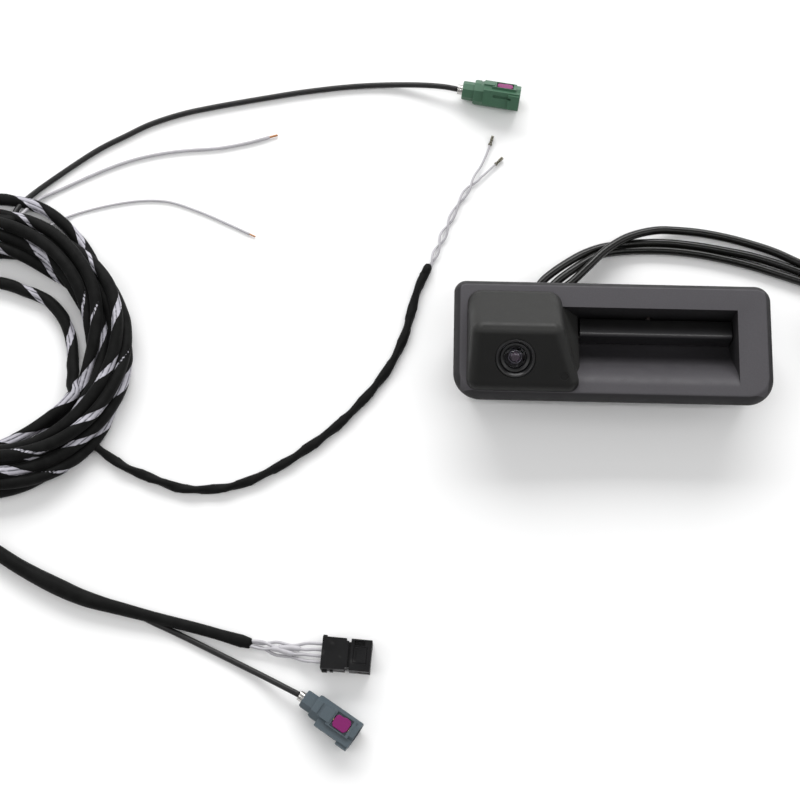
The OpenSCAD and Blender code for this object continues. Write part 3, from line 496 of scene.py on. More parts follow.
def tube(name, path, radius, sides=12, relief=None):
    """Tube along a path. relief(along, angle) gives the share of the radius and how far a gap is open."""
    along = lengths(path)
    heading, side = bearings(path)
    side /= np.linalg.norm(side, axis=1)[:, None]
    up = np.cross(side, heading)
    angle = np.linspace(0, 2 * math.pi, sides, endpoint=False)[None, :]
    reach = np.full((len(path), sides), float(radius))
    gap = np.zeros((len(path), sides))
    if relief:
        scale, gap = relief(along[:, None], angle)
        reach = reach * scale
    turn = side[:, None, :] * np.cos(angle)[..., None] + up[:, None, :] * np.sin(angle)[..., None]
    rings = path[:, None, :] + turn * reach[..., None]
    tip = NOSE * radius
    noses = [path[0] - heading[0] * tip, path[-1] + heading[-1] * tip]
    inner = [noses[0] * 0.6 + path[0] * 0.4 + (rings[0] - path[0]) * 0.7,
             noses[1] * 0.6 + path[-1] * 0.4 + (rings[-1] - path[-1]) * 0.7]
    all_rings = np.concatenate([inner[0][None], rings, inner[1][None]])
    rows = len(all_rings)
    points = np.concatenate([all_rings.reshape(-1, 3), noses])
    faces = []
    for i in range(rows - 1):
        for k in range(sides):
            a, b = i * sides + k, i * sides + (k + 1) % sides
            faces.append((a, a + sides, b + sides, b))
    last = (rows - 1) * sides
    for k in range(sides):
        faces.append((k, (k + 1) % sides, rows * sides))
        faces.append((last + (k + 1) % sides, last + k, rows * sides + 1))
    obj = mesh_object(name, points, faces)
    extended = np.concatenate([along[:1], along, along[-1:]])
    keep(obj, "along", np.append(np.repeat(extended * MM, sides), [0, along[-1] * MM]))
    gaps = np.concatenate([gap[:1], gap, gap[-1:]]).reshape(-1)
    keep(obj, "gap", np.append(gaps, [gaps[0], gaps[-1]]))
    sides_kept = np.stack([np.cos(angle[0]), np.sin(angle[0]), np.zeros(sides)], axis=1)
    sides_kept = np.concatenate([np.tile(sides_kept, (rows, 1)), [[1, 0, 0], [1, 0, 0]]])
    attribute = obj.data.attributes.new("side", "FLOAT_VECTOR", "POINT")
    attribute.data.foreach_set("vector", sides_kept.reshape(-1))
    return obj


def keep(obj, name, values):
    attribute = obj.data.attributes.new(name, "FLOAT", "POINT")
    attribute.data.foreach_set("value", values)


def declare(obj, path, diameter, far_end, pieces, nodes=(), **facts):
    """Rides a free cord on the root, and hides the CAD nodes that it stands for."""
    if nodes:
        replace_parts(obj, *nodes)
    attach(obj, "root")
    return obj


def wrapped(pitch, lap, wobble, seed):
    """Relief of spiral tape: a lap's edge stands proud once a turn, and the bundle under it is uneven."""
    phases = np.random.default_rng(seed).uniform(0, 2 * math.pi, 4)

    def relief(along, angle):
        turn = (along / pitch + angle / (2 * math.pi)) % 1
        edge = lap * np.exp(-(turn / 0.16) ** 2)
        lumps = sum(np.sin(along / size + angle * k + phase) for size, k, phase
                    in zip((3.1, 5.3, 8.9, 14.0), (1, 2, 0, 1), phases)) / 4
        return 1 + edge + wobble * lumps, turn * 0
    return relief


# ---- The three pigtails: from the grommet to a tied coil, then down to their plugs ----

TIED_AT = (101, 8)
TIED_RADIUS = {"power": 12.8, "video": 16.0, "switch": 19.2}
TIED_START, TIED_SWEEP, TIED_STEP = 62, 782, 17
TIED_Z = (1.75, 8.7)
PIGTAIL_D = 3.2
PIGTAIL_ROUTES = {
    "video": [(-27, 23, 10), (-26.7, 25.4, 10), (-24.6, 28.6, 9.8), (-20.6, 32.4, 9),
              (-16.6, 35.7, 8), (-9.4, 40.8, 6.2), (-1.9, 44.6, 4), (6, 46.6, 2.6), (14, 47.6, 2.3),
              (25, 47.8, 2.2), (37, 46.6, 2.2), (48, 44.8, 2.2), (57, 43, 2.2), (66, 40.4, 2.2),
              (76, 36.8, 2.2), (87, 32.6, 2.2), (97, 28.4, 2.2)],
    "power": [(-22, 23, 10), (-21.7, 25.4, 10), (-19.4, 28.2, 9.8), (-14.4, 32.6, 9),
              (-9.5, 36.6, 7.4), (-3.9, 40.6, 5.4), (3, 43.2, 3.4), (13.6, 44.6, 2.2),
              (25.3, 44.6, 2.2), (37, 43.4, 2.2), (47.5, 41.4, 2.2), (56.5, 39.2, 2.2),
              (65.5, 36.4, 2.2), (76, 33, 2.2), (87, 29.2, 2.2), (95.4, 25.8, 2.2)],
    "switch": [(-17, 23, 10), (-16.7, 25.4, 10), (-14, 27.8, 9.9), (-7, 35.2, 9.2),
               (-0.6, 42, 8), (6.9, 47.6, 6.4), (13.4, 50.6, 5), (20.7, 52.6, 3.6), (27, 53, 2.6),
               (37, 52.4, 2.2), (48, 50.4, 2.2), (57, 48, 2.2), (66, 45, 2.2), (76, 40.4, 2.2),
               (87, 36.2, 2.2), (98.6, 31.4, 2.2)]}
PIGTAIL_TAILS = {
    "power": [(114.2, 1, 7.4), (113.2, -7, 4.4), (110.4, -14, 2.2), (107.4, -20, 2.4), (106, -26, 3.6),
              (106, -30, 3.7)],
    "video": [(117.2, 1, 7.4), (117.9, -7, 4.4), (118.6, -14, 2.2), (119.2, -21, 2.8), (119.4, -26, 4.6),
              (119.4, -30, 4.7)],
    "switch": [(120.4, 1, 7.4), (122.4, -7, 4.4), (125.6, -14, 2.2), (128.6, -20, 2.4), (130, -25, 3.2),
               (130, -30, 3.2)]}


def tied_turns(radius):
    """Clockwise turns of one cable, rising by its own diameter each turn."""
    points = []
    for turned in range(0, TIED_SWEEP + 1, TIED_STEP):
        share = turned / TIED_SWEEP
        a = math.radians(TIED_START - TIED_SWEEP * share)
        points.append((TIED_AT[0] + radius * math.cos(a), TIED_AT[1] + radius * math.sin(a),
                       TIED_Z[0] + (TIED_Z[1] - TIED_Z[0]) * share))
    return points


def pigtail(kind, plug, extra=(), nodes=()):
    path = smooth_path(PIGTAIL_ROUTES[kind] + tied_turns(TIED_RADIUS[kind]) + PIGTAIL_TAILS[kind], 0.9)
    obj = finish_with(tube(f"{kind}_cable", path, PIGTAIL_D / 2, 16), "cable_jacket")
    return declare(obj, path, PIGTAIL_D, "plug", [plug, *extra], [f"{kind}_pigtail", *nodes],
                   stiffness="limp", lay="coiled")


# ---- The harness: a loose coil of taped trunk, and the branches that leave it ----

COIL_AT = (-236, -3)
TRUNK_D = 4.7
COIL_START, COIL_TURNS, COIL_STEPS = 211, 10.33, 90
COIL_TOP = 13.2
# Inner and outer radius of the bundle, by angle
BAND = [(-90, 31, 62.6), (-66, 32, 62), (-40, 34.6, 60.4), (-10, 37, 58.4), (20, 35.6, 55),
        (55, 35.3, 54), (75, 36.3, 57), (90, 37.3, 61), (150, 36, 58), (211, 34, 57.6), (270, 31, 62.6)]
# Two turns that lie apart from the bundle: turn, then angle and radius
OUTER_LOOP = (0, [(38, 50.5), (50, 54), (60, 57), (73, 61.3), (82, 63), (91, 63.4), (110, 62), (140, 58)])
INNER_LOOP = (6, [(-24, 36.5), (-10, 33), (1, 31.9), (29, 30.9), (46, 29.9), (65, 27.7), (85, 28.3),
                  (120, 31), (150, 36)])
TRUNK_END = (88, 53.4, 5.0)


# Share of a turn by which the strands wind round each other, and rounds of pushing them apart
GOLDEN, PUSHES = 0.381966, 420


def trunk_path():
    """Turns that wind round each other like a loose rope, then are pushed apart until none overlap."""
    count = int(round(COIL_TURNS * COIL_STEPS)) + 1
    rows = math.ceil(count / COIL_STEPS)
    step = np.arange(rows * COIL_STEPS)
    real = (step < count).reshape(rows, COIL_STEPS)
    turn = step / COIL_STEPS
    angle = (COIL_START - 360 * turn + 90) % 360 - 90
    inner = np.interp(angle, [b[0] for b in BAND], [b[1] for b in BAND]) + TRUNK_D / 2
    outer = np.interp(angle, [b[0] for b in BAND], [b[2] for b in BAND]) - TRUNK_D / 2
    spin = 2 * math.pi * (0.18 + (1 + GOLDEN) * turn)
    spread = np.sqrt((rows - turn) / rows)
    r = (inner + outer) / 2 + (outer - inner) / 2 * spread * np.cos(spin)
    z = (TRUNK_D + COIL_TOP) / 4 + 0.6 + (COIL_TOP - TRUNK_D) / 2 * spread * np.sin(spin)
    wanted, pull = r.copy(), np.zeros(len(step))
    for row, loop in (OUTER_LOOP, INNER_LOOP):
        here = slice(row * COIL_STEPS, (row + 1) * COIL_STEPS)
        low, high = loop[0][0], loop[-1][0]
        pull[here] = np.clip((angle[here] - low) / 22, 0, 1) * np.clip((high - angle[here]) / 30, 0, 1)
        wanted[here] = np.interp(angle[here], [p[0] for p in loop], [p[1] for p in loop])
    held = pull > 0
    inner = np.where(held, np.minimum(inner, wanted), inner)
    outer = np.where(held, np.maximum(outer, wanted), outer)
    r = r + pull * (wanted - r)
    ends = ((0, 57.6, 4.6), (count - 1, TRUNK_END[1], TRUNK_END[2]))
    for _ in range(PUSHES):
        R, Z = r.reshape(rows, -1), z.reshape(rows, -1)
        dr, dz = R[:, None] - R[None], Z[:, None] - Z[None]
        apart = np.hypot(dr, dz) + 1e-6
        push = np.clip(TRUNK_D * 0.99 - apart, 0, None) * (real[:, None] & real[None]) * 0.3
        push[np.arange(rows), np.arange(rows)] = 0
        r = r + (push * dr / apart).sum(1).reshape(-1)
        z = z + (push * dz / apart).sum(1).reshape(-1) - 0.03
        for values in (r, z):
            flow = sum(np.roll(values, k) for k in (1, -1, 3, -3)) / 4 - values
            flow[:3] = flow[count - 3:] = 0
            values += 0.3 * flow
        r = np.clip(r + 0.4 * pull * (wanted - r), inner, outer)
        z = np.clip(z, TRUNK_D / 2 + 0.05, COIL_TOP - TRUNK_D / 2)
        for at, end_r, end_z in ends:
            near = np.exp(-((step - at) / 5.0) ** 2)
            r = r + near * (end_r - r)
            z = z + near * (end_z - z)
    a = np.radians(COIL_START - 360 * turn[:count])
    path = np.stack([COIL_AT[0] + r[:count] * np.cos(a), COIL_AT[1] + r[:count] * np.sin(a), z[:count]], 1)
    return smooth_path(path, 1.35)


def gapped(pitch, seed, bare=0.1, change=0.075):
    """Spiral tape with gaps between its laps, wider in some places than in others."""
    phases = np.random.default_rng(seed).uniform(0, 2 * math.pi, 6)

    def relief(along, angle):
        drift = 0.12 * np.sin(along / 61 + phases[4])
        turn = (along / pitch + drift + angle / (2 * math.pi)) % 1
        swing = (np.sin(along / 37 + phases[0]) + np.sin(along / 15.5 + phases[1])) / 2
        half = bare + change * np.minimum(2.1 * swing, 1)
        gap = (half - np.abs(turn - 0.5)) * pitch * 0.5
        open_share = np.clip(gap / 0.5 + 0.5, 0, 1)
        lumps = sum(np.sin(along / size + angle * k + phase) for size, k, phase
                    in zip((4.1, 7.7, 12.0), (2, 3, 1), phases[1:])) / 3
        strands = 0.05 * np.cos(6 * angle + 0.09 * along)
        return 1 + 0.045 * lumps * (1 - open_share) - (0.12 - strands) * open_share, gap
    return relief


def trunk():
    path = trunk_path()
    obj = tube("harness_trunk", path, TRUNK_D / 2, 24, gapped(26, 5))
    finish_with(obj, "gapped_tape")
    end = lathe("trunk_end", [(1.2, 0), (2.5, 0.8), (2.6, 4), (2.5, 8), (2.2, 9.6), (1.0, 10.4)], 24)
    placed(end, tuple(path[-1] - np.array((3.0, 0.1, 0))), TRUNK_END[0] - 90, 0, 90)
    finish_with(end, "harness_tape")
    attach(end, "root")
    return declare(obj, path, TRUNK_D, "fitting", [end], ["harness_coil"], stiffness="limp", lay="coiled")


HARNESS_ROUTES = {
    "green": [(-232, 50, 5), (-229.5, 57, 3.2), (-225.3, 62.6, 1.6), (-215, 71.6, 1.2),
              (-200, 83.1, 1.2), (-190, 89, 1.2), (-180.8, 94.2, 1.2), (-168.3, 99, 1.2),
              (-157, 102, 1.2), (-145.4, 104.6, 1.2), (-133, 107.2, 1.2), (-121.5, 109.5, 1.2),
              (-105.5, 112, 1.2), (-93.5, 113.2, 1.3), (-81.5, 113.5, 1.9), (-71, 112.8, 3.4),
              (-63, 111.6, 4.6), (-58.4, 110.7, 4.7)],
    "grey": [(-178, -99.6, 3.4), (-168.1, -104.2, 1.8), (-158.7, -108.2, 1.2),
             (-149.4, -112.4, 1.2), (-138.1, -117.6, 1.3), (-127, -122.8, 2.2), (-118, -127.2, 4.1),
             (-112.1, -130.1, 4.7)],
    "long": [(-228.6, 53, 4), (-222.9, 60.5, 1.4), (-214.6, 65.4, 0.8), (-199.4, 73.4, 0.8),
             (-189.5, 77.8, 0.8), (-180, 80.8, 0.8), (-168.2, 83.1, 0.8), (-152.4, 84.8, 0.8),
             (-140.6, 87.5, 0.8), (-133, 89.9, 0.8)],
    "short": [(-217, 49, 3.5), (-212.8, 52.6, 1.4), (-209.1, 54.8, 0.6),
              (-198.3, 58.4, 0.6), (-186.7, 61, 0.6), (-178.8, 61.8, 0.6), (-170.9, 61.3, 0.6),
              (-158.9, 57.4, 0.6), (-146.8, 52.2, 0.6), (-139, 48.6, 0.6)],
    "taped": [(-196, -36.5, 4), (-191.7, -39.6, 2.4), (-186.2, -43.2, 1.9),
              (-179.2, -47.4, 1.9), (-167.6, -52.2, 1.9), (-160, -54.1, 1.9), (-152, -54.3, 1.9),
              (-145, -53.7, 1.9), (-137.6, -52.2, 1.9), (-129.5, -49, 1.9), (-119.3, -42.6, 1.9),
              (-108.3, -33.6, 1.9), (-97.3, -23.8, 1.9), (-86.3, -11, 1.9), (-79, 3.9, 1.9),
              (-74.7, 18, 1.9), (-71.8, 27.8, 1.9), (-69, 35.4, 1.9)],
    "pair_a": [(-69.4, 34.6, 1.2), (-65.8, 44.7, 1.2), (-61.7, 55.2, 1.2), (-57.5, 64.4, 1.2),
               (-53, 72, 1.2), (-49.4, 78, 1.2), (-46.6, 84, 1.2), (-45, 89, 1.2)],
    "pair_b": [(-67.9, 35.1, 1.2), (-64.2, 44.1, 1.2), (-60.1, 54.6, 1.2), (-55.9, 63.6, 1.2),
               (-51.4, 70.6, 1.2), (-46.8, 76, 1.2), (-42.4, 80.6, 1.2)],
    "main": [(-285.5, -33, 4), (-283, -40, 3.4), (-278, -48.5, 2.9), (-270.5, -56.5, 2.9),
             (-261, -63.5, 2.9), (-250, -69, 2.9), (-239, -74, 2.9), (-228.8, -78.7, 2.9),
             (-217.1, -85.5, 2.9), (-205.6, -91.2, 2.9), (-194.1, -96, 2.9), (-186.7, -98.2, 2.9),
             (-177.3, -100.5, 2.9), (-168, -102.7, 2.3), (-156.9, -105.2, 2.2),
             (-149.5, -106.9, 2.2), (-140.3, -109.2, 2.2), (-131, -111.6, 2.2)]}


def harness_path(kind, step=1.2):
    return smooth_path(HARNESS_ROUTES[kind], step)


def plain_cord(kind, radius, finish, nodes, far_end, pieces=(), step=1.2, sides=14, **facts):
    path = harness_path(kind, step)
    obj = finish_with(tube(f"{kind}_cord", path, radius, sides), finish)
    return declare(obj, path, 2 * radius, far_end, pieces, nodes, **facts)


def taped_twist():
    """The thin branch: a pair under tape, so that its width swells and narrows once each half turn."""
    path = harness_path("taped", 0.8)
    along = lengths(path)
    sway = 0.38 * np.sin(along / 7.1 + 0.6 * np.sin(along / 31))
    heading, side = bearings(path)
    path = path + side * (sway * np.clip(along / 20, 0, 1))[:, None]
    fold = wrapped(9.5, 0.1, 0.09, 11)

    def relief(along, angle):
        scale, gap = fold(along, angle)
        return scale * (1 + 0.13 * np.cos(2 * (angle - along * math.pi / 13.5))), gap

    obj = finish_with(tube("taped_branch_cord", path, 1.62, 18, relief), "harness_tape")
    end = lathe("branch_end", [(0.7, 0), (1.5, 0.3), (1.75, 1.6), (1.7, 3.4), (1.25, 4.6), (0.6, 5.0)], 24)
    turn = math.degrees(math.atan2(heading[-1][1], heading[-1][0]))
    finish_with(placed(end, tuple(path[-1] - heading[-1] * 3.2), turn, 0, 90), "harness_tape")
    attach(end, "root")
    return declare(obj, path, 3.4, "fitting", [end], ["taped_branch"], stiffness="limp")


def crimp_pin(name, path):
    """A small open terminal on the end of a wire: insulation crimp, wire crimp and box."""
    def wing(r, x0, x1, open_angle):
        turn = np.radians(np.linspace(-90 + open_angle / 2, 270 - open_angle / 2, 15))
        rings = []
        for x in (x0, x1):
            outer = [(x, r * math.cos(a), r * math.sin(a)) for a in turn]
            inner = [(x, (r - 0.22) * math.cos(a), (r - 0.22) * math.sin(a)) for a in turn[::-1]]
            rings.append(outer + inner)
        return loft("wing", rings)

    box = block("box", 3.6, 6.6, -0.62, 0.62, -0.62, 0.62)
    cut(box, block("hole", 4.0, 7, -0.38, 0.38, -0.38, 0.38), block("window", 4.4, 5.6, -0.3, 0.3, 0, 1))
    floor = block("floor", 0, 3.8, -0.45, 0.45, -0.72, -0.5)
    pin = merged(name, soften(box, 0.08, 1), floor, wing(0.85, 0, 1.3, 50), wing(0.6, 2.0, 3.2, 40))
    heading = path[-1] - path[-4]
    turn = math.degrees(math.atan2(heading[1], heading[0]))
    pin.data.transform(Matrix.Diagonal((0.62, 0.85, 0.85, 1)))
    placed(pin, tuple(path[-1] - 0.8 * heading / np.linalg.norm(heading)), turn)
    finish_with(pin, "tinned_pin")
    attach(pin, "root")
    return pin


def twisted_pair():
    """Two wires that cross about every 9 mm, then part towards their own terminals."""
    ends = [harness_path(kind, 0.6) for kind in ("pair_a", "pair_b")]
    count = min(len(e) for e in ends)
    ends = [e[np.round(np.linspace(0, len(e) - 1, count)).astype(int)] for e in ends]
    middle = (ends[0] + ends[1]) / 2
    along = lengths(middle)
    side = bearings(middle)[1]
    part = np.clip((along - 38) / 12, 0, 1)
    part = part * part * (3 - 2 * part)
    phase = math.pi * along / 8.6 + 0.5 * np.sin(along / 9)
    wide = 0.75 + 0.45 * np.sin(along / 9.3) ** 2
    for sign, kind, far in ((1, "a", ends[0]), (-1, "b", ends[1])):
        twist = middle + side * (sign * wide * np.cos(phase))[:, None]
        twist[:, 2] = 1.5 + sign * 0.72 * np.sin(phase)
        path = twist * (1 - part)[:, None] + far * part[:, None]
        path[:, 2] = np.maximum(path[:, 2], 0.72)
        path = smooth_path(path[::4], 0.7)
        pin = crimp_pin(f"pin_{kind}", path)
        obj = finish_with(tube(f"pair_{kind}_wire", path, 0.45, 12), "wire_white")
        nodes = ["twisted_pair", "crimp_pins"] if kind == "a" else []
        declare(obj, path, 0.9, "connector", [pin], nodes, stiffness="medium")


PLUG4_AT, PLUG4_TURN = (-104.6, -114.9, 0.1), -4
PLUG4_SIZE = (18, 11.4, 8.8)
PLUG4_PITCH = 2.2


def plug4_point(x, y, z):
    c, s = math.cos(math.radians(PLUG4_TURN)), math.sin(math.radians(PLUG4_TURN))
    return (PLUG4_AT[0] + x * c - y * s, PLUG4_AT[1] + x * s + y * c, z)


def plug4_wires():
    """Four wires fan out from the tape to the plug; two carry plain sleeves."""
    pieces = []
    for i, (side, rise) in enumerate(((-0.7, 1.3), (-0.7, 2.7), (0.7, 2.7), (0.7, 1.3))):
        row = (i - 1.5) * PLUG4_PITCH
        bow = (1.1, -0.5, 0.7, -0.9)[i]
        path = smooth_path([plug4_point(-27.6, 1.45 + side, rise),
                            plug4_point(-22, 1 + side * 1.5 + bow * 0.3, rise + 0.1),
                            plug4_point(-17, 0.6 + row * 0.55 - bow * 0.5, rise + 0.2),
                            plug4_point(-11, row * 0.75 + bow * 0.4, rise + 0.3),
                            plug4_point(-6, row * 0.9 - bow * 0.2, 3.4), plug4_point(-2.6, row, 4.4),
                            plug4_point(1.6, row, 4.4)], 0.6)
        swell = 0.85 if i in (1, 2) else 0.0
        start = 6.5 + 2.5 * i

        def relief(along, angle, swell=swell, start=start):
            sleeve = np.clip((along - start) / 0.5, 0, 1) * np.clip((start + 8.5 - along) / 0.5, 0, 1)
            return 1 + swell * sleeve + 0 * angle, 0 * along * angle

        obj = finish_with(tube(f"plug4_wire_{i + 1}", path, 0.56, 12, relief), "wire_white")
        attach(obj, "root")
        pieces.append(obj)
    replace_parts(pieces[0], "plug_wires")
    return pieces


def main_branch(pieces):
    """The taped branch from the coil to the four-way plug; it thins where the grey lead has left it."""
    path = harness_path("main", 1.0)
    total = lengths(path)[-1]
    fold = gapped(24, 9, 0.0, 0.0)

    def relief(along, angle):
        scale, _ = fold(along, angle)
        slim = np.interp(along, [0, 80, 98, 108, 118, 126, 150, total - 12, total - 3, total],
                         [2.75, 2.75, 3.05, 3.2, 2.95, 2.5, 2.05, 2.1, 2.35, 1.9]) / 2.5
        patch = 1.0 - np.abs(along - 34 + 2.4 * np.sin(angle)) / 1.9
        face = np.cos(angle - 1.9)
        gap = np.minimum(patch, face) * 1.2 - 0.35
        return slim * np.maximum(scale, 0.98), gap

    obj = finish_with(tube("main_branch_cord", path, 2.5, 20, relief), "gapped_tape")
    return declare(obj, path, 5.0, "plug", pieces, ["main_branch", "plug_branch"], stiffness="medium")


# ---- Camera, floor and light ----

CAMERA_AT, CAMERA_AIM = (-0.0744978, -0.1938625, 0.6152075), (-0.0785, -0.0175, 0)
CAMERA_LENS, SENSOR_WIDTH = 75.6, 36
FLOOR_HALF = 4000
WORLD_STRENGTH = 0.4
# Name, place, aim, size and watts of each lamp, in metres
LIGHTS = [("key", (-0.1, 1.75, 1.25), (-0.05, 0, 0), (2.4, 0.9), 48),
          ("strip", (0.05, -0.42, 1.7), (0.05, 0, 0), (1.7, 0.09), 5),
          ("fill_left", (-1.7, -0.3, 1.5), (-0.1, 0, 0), (1.2, 1.6), 8),
          ("fill_right", (1.6, -0.2, 1.5), (0, 0, 0), (1.2, 1.6), 8)]


def facing(at, aim):
    return (Vector(aim) - Vector(at)).to_track_quat("-Z", "Y").to_euler()


def camera_and_light():
    camera = bpy.data.objects.new("camera", bpy.data.cameras.new("camera"))
    bpy.context.collection.objects.link(camera)
    camera.location = CAMERA_AT
    camera.rotation_euler = facing(CAMERA_AT, CAMERA_AIM)
    camera.data.lens, camera.data.sensor_width = CAMERA_LENS, SENSOR_WIDTH
    camera.data.clip_start, camera.data.clip_end = 0.01, 50
    bpy.context.scene.camera = camera

    bpy.context.scene.view_settings.view_transform = "Standard"
    world = bpy.data.worlds.new("studio")
    world.use_nodes = True
    background = world.node_tree.nodes["Background"].inputs
    background["Color"].default_value = (1, 1, 1, 1)
    background["Strength"].default_value = WORLD_STRENGTH
    bpy.context.scene.world = world

    corners = [(x * FLOOR_HALF, y * FLOOR_HALF, 0) for x, y in ((-1, -1), (1, -1), (1, 1), (-1, 1))]
    floor = mesh_object("floor", corners, [(0, 1, 2, 3)], False)
    paper = Shader("floor_paper", (0.93, 0.93, 0.93), 0.9)
    paper.tint(paper.blend(paper.noise(900, 1), (0.92, 0.92, 0.92), (0.94, 0.94, 0.94)))
    floor.data.materials.append(paper.material)

    for name, at, aim, size, power in LIGHTS:
        data = bpy.data.lights.new(name, "AREA")
        data.shape, data.size, data.size_y, data.energy = "RECTANGLE", size[0], size[1], power
        light = bpy.data.objects.new(name, data)
        bpy.context.collection.objects.link(light)
        light.location = at
        light.rotation_euler = facing(at, aim)


# ---- The handle ----

PLATE_X, PLATE_Y, FRONT_Z, BACK_Z = 58, 22, 26, 21.5
RECESS_X, RECESS_TOP, FLOOR_Z = (-19.6, 46), 12.4, 6
RAMP_Y = (-17.4, 6)
TUB_WALL = 1.4
WINDOW = (-48, -24.5, -17.2, 15)
PIN_AT = (6.2, 9.5)
EXIT_X = (-27, -22, -17)
LENS_AT, LENS_TILT = (-36.8, -10.6, 34.2), 32


def plate_outline(inset):
    radii = [max(r - inset, 0.6) for r in (5, 3.5, 9, 9)]
    return rounded(-PLATE_X + inset, PLATE_X - inset, -PLATE_Y + inset, PLATE_Y - inset, radii, 12)


def ramp_line(offset, steps=40):
    """The recess's S-curve from the face down to its floor, y then z, moved square to itself."""
    line = []
    for t in np.linspace(0, 1, steps + 1):
        slope = -(FRONT_Z - FLOOR_Z) * math.pi * math.sin(math.pi * t) / 2 / (RAMP_Y[1] - RAMP_Y[0])
        y = RAMP_Y[0] + (RAMP_Y[1] - RAMP_Y[0]) * t
        z = FLOOR_Z + (FRONT_Z - FLOOR_Z) * (1 + math.cos(math.pi * t)) / 2
        size = math.hypot(slope, 1)
        line.append((y + offset * slope / size, z - offset / size))
    return line


def recess_outline(grow=0.0, top=FRONT_Z + 1):
    return ramp_line(grow) + [(RECESS_TOP + grow, FLOOR_Z - grow), (RECESS_TOP + grow, top),
                              (RAMP_Y[0] - 0.01, top)]


def faceplate():
    rings = []
    for inset, z in ((-0.6, 21.5), (-0.95, 21.8), (-1.0, 22.3), (-0.85, 23.1), (-0.4, 24.1), (0.25, 25.0),
                     (0.95, 25.65), (1.4, 25.9), (1.9, 26)):
        rings.append([(x, y, z) for x, y in plate_outline(inset)])
    plate = loft("faceplate_skin", rings)
    tub = across("tub", recess_outline(TUB_WALL, BACK_Z + 1), RECESS_X[0] - TUB_WALL, RECESS_X[1] + TUB_WALL)
    cut(tub, block("below", -70, 70, -40, -13.5, 0, 30))
    join(plate, tub)
    cut(plate, across("space", recess_outline(), *RECESS_X),
        block("window", *WINDOW, BACK_Z - 1, FRONT_Z + 1),
        placed(rod("pin_hole", 1.3, -25, 50), (0, *PIN_AT)),
        placed(rod("plunger_hole", 1.6, 0, 4, 32), (14.4, RECESS_TOP - 1, 14.5), 90))
    soften(plate, 0.35, 3, 42)
    settle(baked(plate, 40), "faceplate_plastic", ["faceplate"])


def hull_of(name, blobs, steps=24):
    """Smooth hull round spheres, each one x, y, z, radius, and flatness of the sphere in z."""
    points = []
    for x, y, z, r, flat in blobs:
        for i in range(1, steps):
            polar = math.pi * i / steps
            for k in range(2 * steps):
                a = math.pi * k / steps
                points.append((x + r * math.sin(polar) * math.cos(a), y + r * math.sin(polar) * math.sin(a),
                               z + flat * r * math.cos(polar)))
    obj = mesh_object(name, points, [])
    work = bmesh.new()
    work.from_mesh(obj.data)
    bmesh.ops.convex_hull(work, input=work.verts)
    loose = [v for v in work.verts if not v.link_faces]
    bmesh.ops.delete(work, geom=loose, context="VERTS")
    bmesh.ops.dissolve_limit(work, angle_limit=0.002, verts=work.verts, edges=work.edges)
    work.to_mesh(obj.data)
    work.free()
    return obj


def hood_form(name, inset):
    """Roof, brow and face of the camera's hood: rounded at the brow, wider at its foot."""
    brow, top, chin, low = 4.9 - inset, 5.4 - inset, 4.2 - inset, 21 - 2 * inset
    blobs = [(-48.3, -1.0, 35.1, brow, 1), (-23.7, -1.0, 35.1, brow, 1),
             (-49.1, 13, low, top, 0.4), (-48.8, 13, 24.7, top, 1), (-24.3, 13, 24.7, top, 1),
             (-23.4, 13, low, top, 0.4), (-50.0, -16.4, 26.4, chin, 1), (-50.3, -16.4, low, chin, 0.4),
             (-17.3, -16.4, 26.2, chin, 1), (-16.4, -16.4, low, chin, 0.4)]
    return hull_of(name, blobs)


def hood():
    shell = hood_form("hood_skin", 0)
    cut(shell, hood_form("hollow", 1.8), block("below", -70, 0, -40, 40, 0, FRONT_Z - 0.02))
    rows = []
    for z in np.linspace(4.6, 26.3, 24):
        flare = 0.59 * (26 - z)
        row = []
        for y in np.linspace(-18.4, 12.9, 17):
            right = min(-18.9 + (12.7 - y) * 5.7 / 34.3 + flare, -12.1)
            row.append((right, y, z))
        rows.append(row + [(-22.5, 12.9, z), (-22.5, -18.4, z)])
    tongue = loft("tongue", rows)
    keep_in = across("keep", recess_outline(0.6, FRONT_Z + 0.2), -24, -6)
    boolean(tongue, keep_in, "INTERSECT")
    join(shell, tongue)
    cut(shell, placed(lathe("bore", [(7.4, -5), (7.4, 9)], 96), LENS_AT, 0, LENS_TILT))
    hit = shell.ray_cast(Vector((-18.8, -16.3, 60)) * MM, Vector((0, 0, -1)))[1]
    cut(shell, placed(lathe("dimple", [(1.5, -0.35), (1.9, 1.5)], 32), tuple(hit / MM), 0, 30))
    soften(shell, 0.3, 3, 44)
    settle(baked(shell, 30), "hood_plastic", ["camera_hood"])


